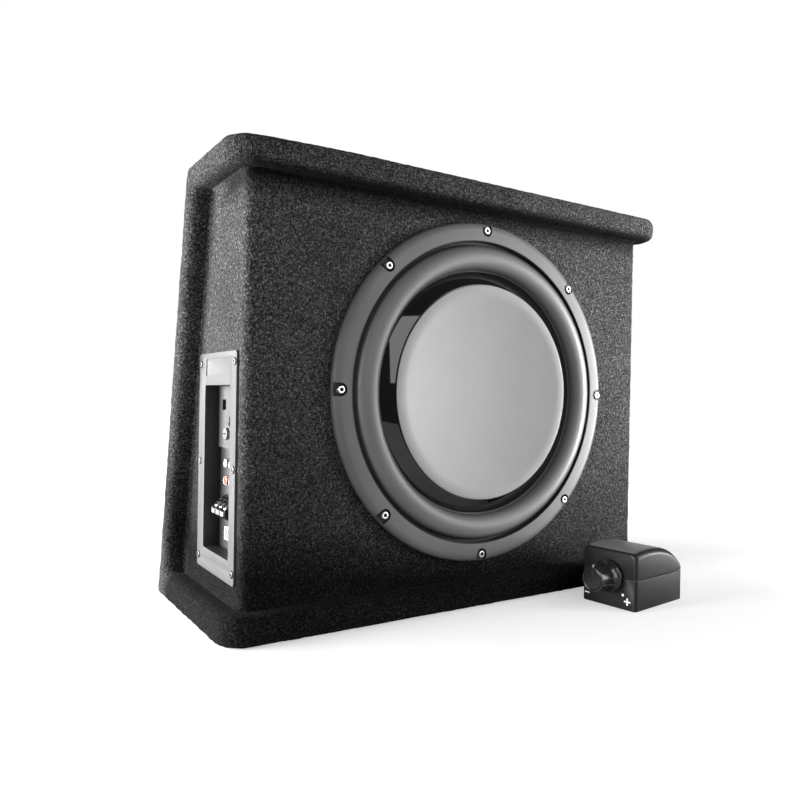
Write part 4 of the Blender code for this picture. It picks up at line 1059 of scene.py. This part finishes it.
# speaker-level socket with its pins
hl = prism_bm(rounded((-35.5, -17.0), (70.5, 81.5), 0.7, 4), -223.5, PANEL_X - 0.3, "X")
hl = carve(hl, [prism_bm(rounded((-34.0, -18.5), (72.0, 80.0), 0.4, 3), -230, PANEL_X - 1.6, "X")],
           modifiers=[("BEVEL", dict(width=0.25, segments=2, limit_method="ANGLE", angle_limit=math.radians(50)))])
make(hl, "high_level_socket_fine", M["white_plastic"], "enclosure", "high_level_socket", angle=30)
make(merged([box_bm((-222.2, PANEL_X - 1.7), (-31.6 + 3.5 * k, -30.8 + 3.5 * k), (z, z + 0.8)) for k in range(4) for z in (73.8, 77.4)]),
     "high_level_pins", M["nickel"], "enclosure", smooth=False)

# ------------------------------------------------------------------ loose level control
cu, su = math.cos(REMOTE_TURN), math.sin(REMOTE_TURN)
RIGHT, BACKWARD = Vector((cu, su, 0)), Vector((-su, cu, 0))
FOOT = Vector((REMOTE_AT[0], REMOTE_AT[1], 0)) - RIGHT * RW
REMOTE = Matrix(((RIGHT.x, BACKWARD.x, 0, FOOT.x), (RIGHT.y, BACKWARD.y, 0, FOOT.y), (0, 0, 1, 0), (0, 0, 0, 1)))


def smooth_line(pts, n):
    """A curve through the points, closely spaced."""
    out = []
    for i in range(len(pts) - 1):
        p0, p1, p2, p3 = [Vector(pts[max(0, min(len(pts) - 1, i + k))]) for k in (-1, 0, 1, 2)]
        for j in range(n):
            t = j / n
            q = 0.5 * ((2 * p1) + (p2 - p0) * t + (2 * p0 - 5 * p1 + 4 * p2 - p3) * t * t + (3 * p1 - p0 - 3 * p2 + p3) * t ** 3)
            out.append((q.x, q.y))
    out.append(tuple(pts[-1]))
    return out


TOP_LINE = smooth_line([(0, 53.4), (10, 55.6), (24, 56.3), (40, 55.4), (54, 52.4), (65, 47.8), (73, 42.2), (78, 36.6), (80, 31.5)], 5)


def top_height(v):
    for (v0, z0), (v1, z1) in zip(TOP_LINE, TOP_LINE[1:]):
        if v0 <= v <= v1 and v1 > v0:
            return z0 + (z1 - z0) * (v - v0) / (v1 - v0)
    return TOP_LINE[-1][1]


def section(u0, u1, z0, z1, r_low, r_high, n=8):
    """A rounded cross-section of the housing, the same number of points every time."""
    pts = []
    for cu_, cz_, r_, a0 in ((u1 - r_low, z0 + r_low, r_low, -90), (u1 - r_high, z1 - r_high, r_high, 0), (u0 + r_high, z1 - r_high, r_high, 90), (u0 + r_low, z0 + r_low, r_low, 180)):
        for i in range(n + 1):
            a_ = math.radians(a0 + 90 * i / n)
            pts.append((cu_ + r_ * math.cos(a_), cz_ + r_ * math.sin(a_)))
    return pts


def shell(upper, name, node):
    """Cross-sections through the housing from front to back, drawn in towards both ends for the rounded rims."""
    gap = 0.45
    stations = [(2.8 * (1 - math.cos(math.radians(a_))), 2.8 * (1 - math.sin(math.radians(a_)))) for a_ in range(0, 91, 15)]
    stations += [(v, 0.0) for v, _ in TOP_LINE if 3.5 < v < 76.4]
    stations += [(80 - 3.0 * (1 - math.sin(math.radians(a_))), 3.0 * (1 - math.cos(math.radians(a_)))) for a_ in range(0, 91, 15)]
    bm = bmesh.new()
    rings = []
    for v, inset in stations:
        if upper:
            z1 = max(top_height(v) - inset * 0.9, RSPLIT + gap + 1.6)
            r_high = min(6.4, (z1 - RSPLIT - gap) * 0.6)
            pts = section(0.3 + inset, RW - 0.3 - inset, RSPLIT + gap, z1, 0.35, r_high)
        else:
            pts = section(0.3 + inset, RW - 0.3 - inset, 0.0, RSPLIT - gap, 1.0, 0.35)
        rings.append([bm.verts.new((u, v, z)) for u, z in pts])
    n = len(rings[0])
    for r0, r1 in zip(rings, rings[1:]):
        for i in range(n):
            bm.faces.new((r0[i], r0[(i + 1) % n], r1[(i + 1) % n], r1[i]))
    bm.faces.new(list(reversed(rings[0])))
    bm.faces.new(rings[-1])
    bmesh.ops.recalc_face_normals(bm, faces=bm.faces[:])
    pocket = moved(turned_bm([(0, -5), (8.6, -5), (8.6, 13.0), (0, 13.0)], 64), Matrix.Translation((RW / 2, 0, RSPLIT)) @ Matrix.Rotation(math.radians(-90), 4, "X"))
    bm = carve(bm, [pocket])
    return make(bm, name, M["remote"], "remote_unit", node, angle=30, matrix=REMOTE)


up_shell = shell(True, "remote_upper_fine", "remote_upper_shell")
low_shell = shell(False, "remote_lower_fine", "remote_lower_shell")

# knob with a waisted skirt, a flat cap and a pointer ridge
kp = fillet([
    (3.3, 22.3), (0, 22.3), (0, KNOB_LONG - 0.5), (9.0, KNOB_LONG - 0.5), (9.5, KNOB_LONG - 1.1), (10.0, KNOB_LONG), (10.9, KNOB_LONG), (11.4, KNOB_LONG - 1.4),
    (12.0, 11.0), (13.4, 6.6), (15.8, 3.4), (15.8, 1.0), (8.0, 1.0), (3.3, 6.0),
], [0, 0, 0, 0.1, 0.2, 0.3, 0.5, 0.8, 4.0, 3.5, 1.2, 0.5, 0, 0], 6)
kb = turned_bm(kp, 144)
ridge = prism_bm([(-1.2, 6.0), (1.2, 6.0), (0.8, 13.6), (-0.8, 13.6)], KNOB_LONG - 12.5, KNOB_LONG - 0.4, "Z")
kb = carve(kb, [ridge], ops={0: "UNION"}, modifiers=[("BEVEL", dict(width=0.25, segments=2, limit_method="ANGLE", angle_limit=math.radians(50)))])
KNOB_AT = REMOTE @ Matrix.Translation((RW / 2, 0, RSPLIT)) @ Matrix.Rotation(math.radians(90), 4, "X")
make(kb, "remote_knob_fine", M["remote_knob"], "remote_level_knob", "remote_knob", angle=30, matrix=KNOB_AT)

# printed marks on the face: less, more and the two end stops
face_marks = [prism_bm(rounded((3.0, 8.4), (7.2, 8.4), 0.3, 3), -0.10, 0.15, "Y")]
cross = [(0.75, 0.75), (0.75, 3.4), (-0.75, 3.4), (-0.75, 0.75), (-3.4, 0.75), (-3.4, -0.75), (-0.75, -0.75), (-0.75, -3.4), (0.75, -3.4), (0.75, -0.75), (3.4, -0.75), (3.4, 0.75)]
face_marks.append(prism_bm([(50.2 + a, 7.9 + b) for a, b in cross], -0.10, 0.15, "Y"))
for (u, z, r) in ((10.4, 13.2, 0.8), (45.4, 13.4, 1.3)):
    face_marks.append(prism_bm([(u + r * math.cos(2 * pi * i / 24), z + r * math.sin(2 * pi * i / 24)) for i in range(24)], -0.10, 0.15, "Y"))
make(merged(face_marks), "remote_face_marks", M["mark"], "remote_unit", smooth=False, matrix=REMOTE)

# ------------------------------------------------------------------ floor, lights, world
fm, fnt, fb = new_mat("floor_white")
link(fnt, ramp(fnt, noise_node(fnt, coords(fnt), 3.0), [(0.3, (0.61, 0.61, 0.61)), (0.7, (0.63, 0.63, 0.63))]), fb.inputs["Base Color"])
fb.inputs["Roughness"].default_value = 0.75
fb.inputs["Specular IOR Level"].default_value = 0.2
# the seamless paper is lit a little from beneath, as on a light table, which only the camera sees
fl = fnt.nodes.new("ShaderNodeLightPath")
fmul = fnt.nodes.new("ShaderNodeMath")
fmul.operation = "MULTIPLY"
link(fnt, fl.outputs["Is Camera Ray"], fmul.inputs[0])
fdist = fnt.nodes.new("ShaderNodeVectorMath")
fdist.operation = "LENGTH"
link(fnt, coords(fnt), fdist.inputs[0])
link(fnt, map_range(fnt, fdist.outputs["Value"], 0.35, 1.0, 0.46, 1.05), fmul.inputs[1])
link(fnt, fmul.outputs[0], fb.inputs["Emission Strength"])
fb.inputs["Emission Color"].default_value = (1, 1, 1, 1)
bm = bmesh.new()
vs = [bm.verts.new(p) for p in ((-6, -0.62, -0.0004), (6, -0.62, -0.0004), (6, 12, -0.0004), (-6, 12, -0.0004))]
bm.faces.new(vs)
me = bpy.data.meshes.new("floor")
bm.to_mesh(me)
bm.free()
floor = bpy.data.objects.new("floor", me)
scene.collection.objects.link(floor)
me.materials.append(fm)


def lamp(name, at, aim, sx, sy, watts):
    ld = bpy.data.lights.new(name, "AREA")
    ld.shape = "RECTANGLE"
    ld.size, ld.size_y, ld.energy = sx, sy, watts
    lo = bpy.data.objects.new(name, ld)
    scene.collection.objects.link(lo)
    lo.location = at
    lo.rotation_euler = (Vector(aim) - Vector(at)).to_track_quat("-Z", "Y").to_euler()
    lo.visible_camera = False
    return lo


AIM = (0.0, -0.06, 0.2)


def round_at(az, el, d):
    a, e = math.radians(az), math.radians(el)
    return Vector(AIM) + Vector((math.sin(a) * math.cos(e), -math.cos(a) * math.cos(e), math.sin(e))) * d


lamp("key_left", round_at(-100, 4, 1.7), AIM, 0.7, 0.7, 64.0)
lamp("key_back_left", round_at(-125, 4, 1.7), AIM, 0.7, 0.7, 58.0)
lamp("strip_right", (0.84, -0.72, 0.20), (0.84, 0, 0.20), 0.42, 0.8, 5.6)
lamp("strip_right_high", (0.58, -0.72, 0.62), (0.58, 0, 0.62), 0.40, 0.5, 3.0)
lamp("strip_front", (0.30, -0.72, 0.12), (0.3, 0, 0.12), 0.30, 0.5, 1.6)
lamp("strip_front_high", (0.35, -0.72, 0.62), (0.35, 0, 0.62), 0.22, 0.5, 0.8)
lamp("cone_box", round_at(-17, 23, 1.2), AIM, 0.47, 0.8, 3.2)
lamp("back_low", (1.75, 1.20, 0.50), (0.2, -0.1, 0.05), 1.0, 0.6, 2.2)
grid = lamp("strip_right_grid", (0.80, -0.42, 0.30), (0.27, -0.08, 0.30), 0.15, 0.7, 2.0)
grid.data.spread = math.radians(30)

world = bpy.data.worlds.new("studio")
scene.world = world
world.use_nodes = True
wn = world.node_tree
bg = wn.nodes["Background"]
lp = wn.nodes.new("ShaderNodeLightPath")
mixc = wn.nodes.new("ShaderNodeMix")
mixc.data_type = "RGBA"
mixc.inputs["A"].default_value = (0.09, 0.09, 0.0905, 1)
mixc.inputs["B"].default_value = (1.0, 1.0, 1.0, 1)
wn.links.new(lp.outputs["Is Camera Ray"], mixc.inputs["Factor"])
wn.links.new(mixc.outputs["Result"], bg.inputs["Color"])
scene.view_settings.view_transform = "Standard"
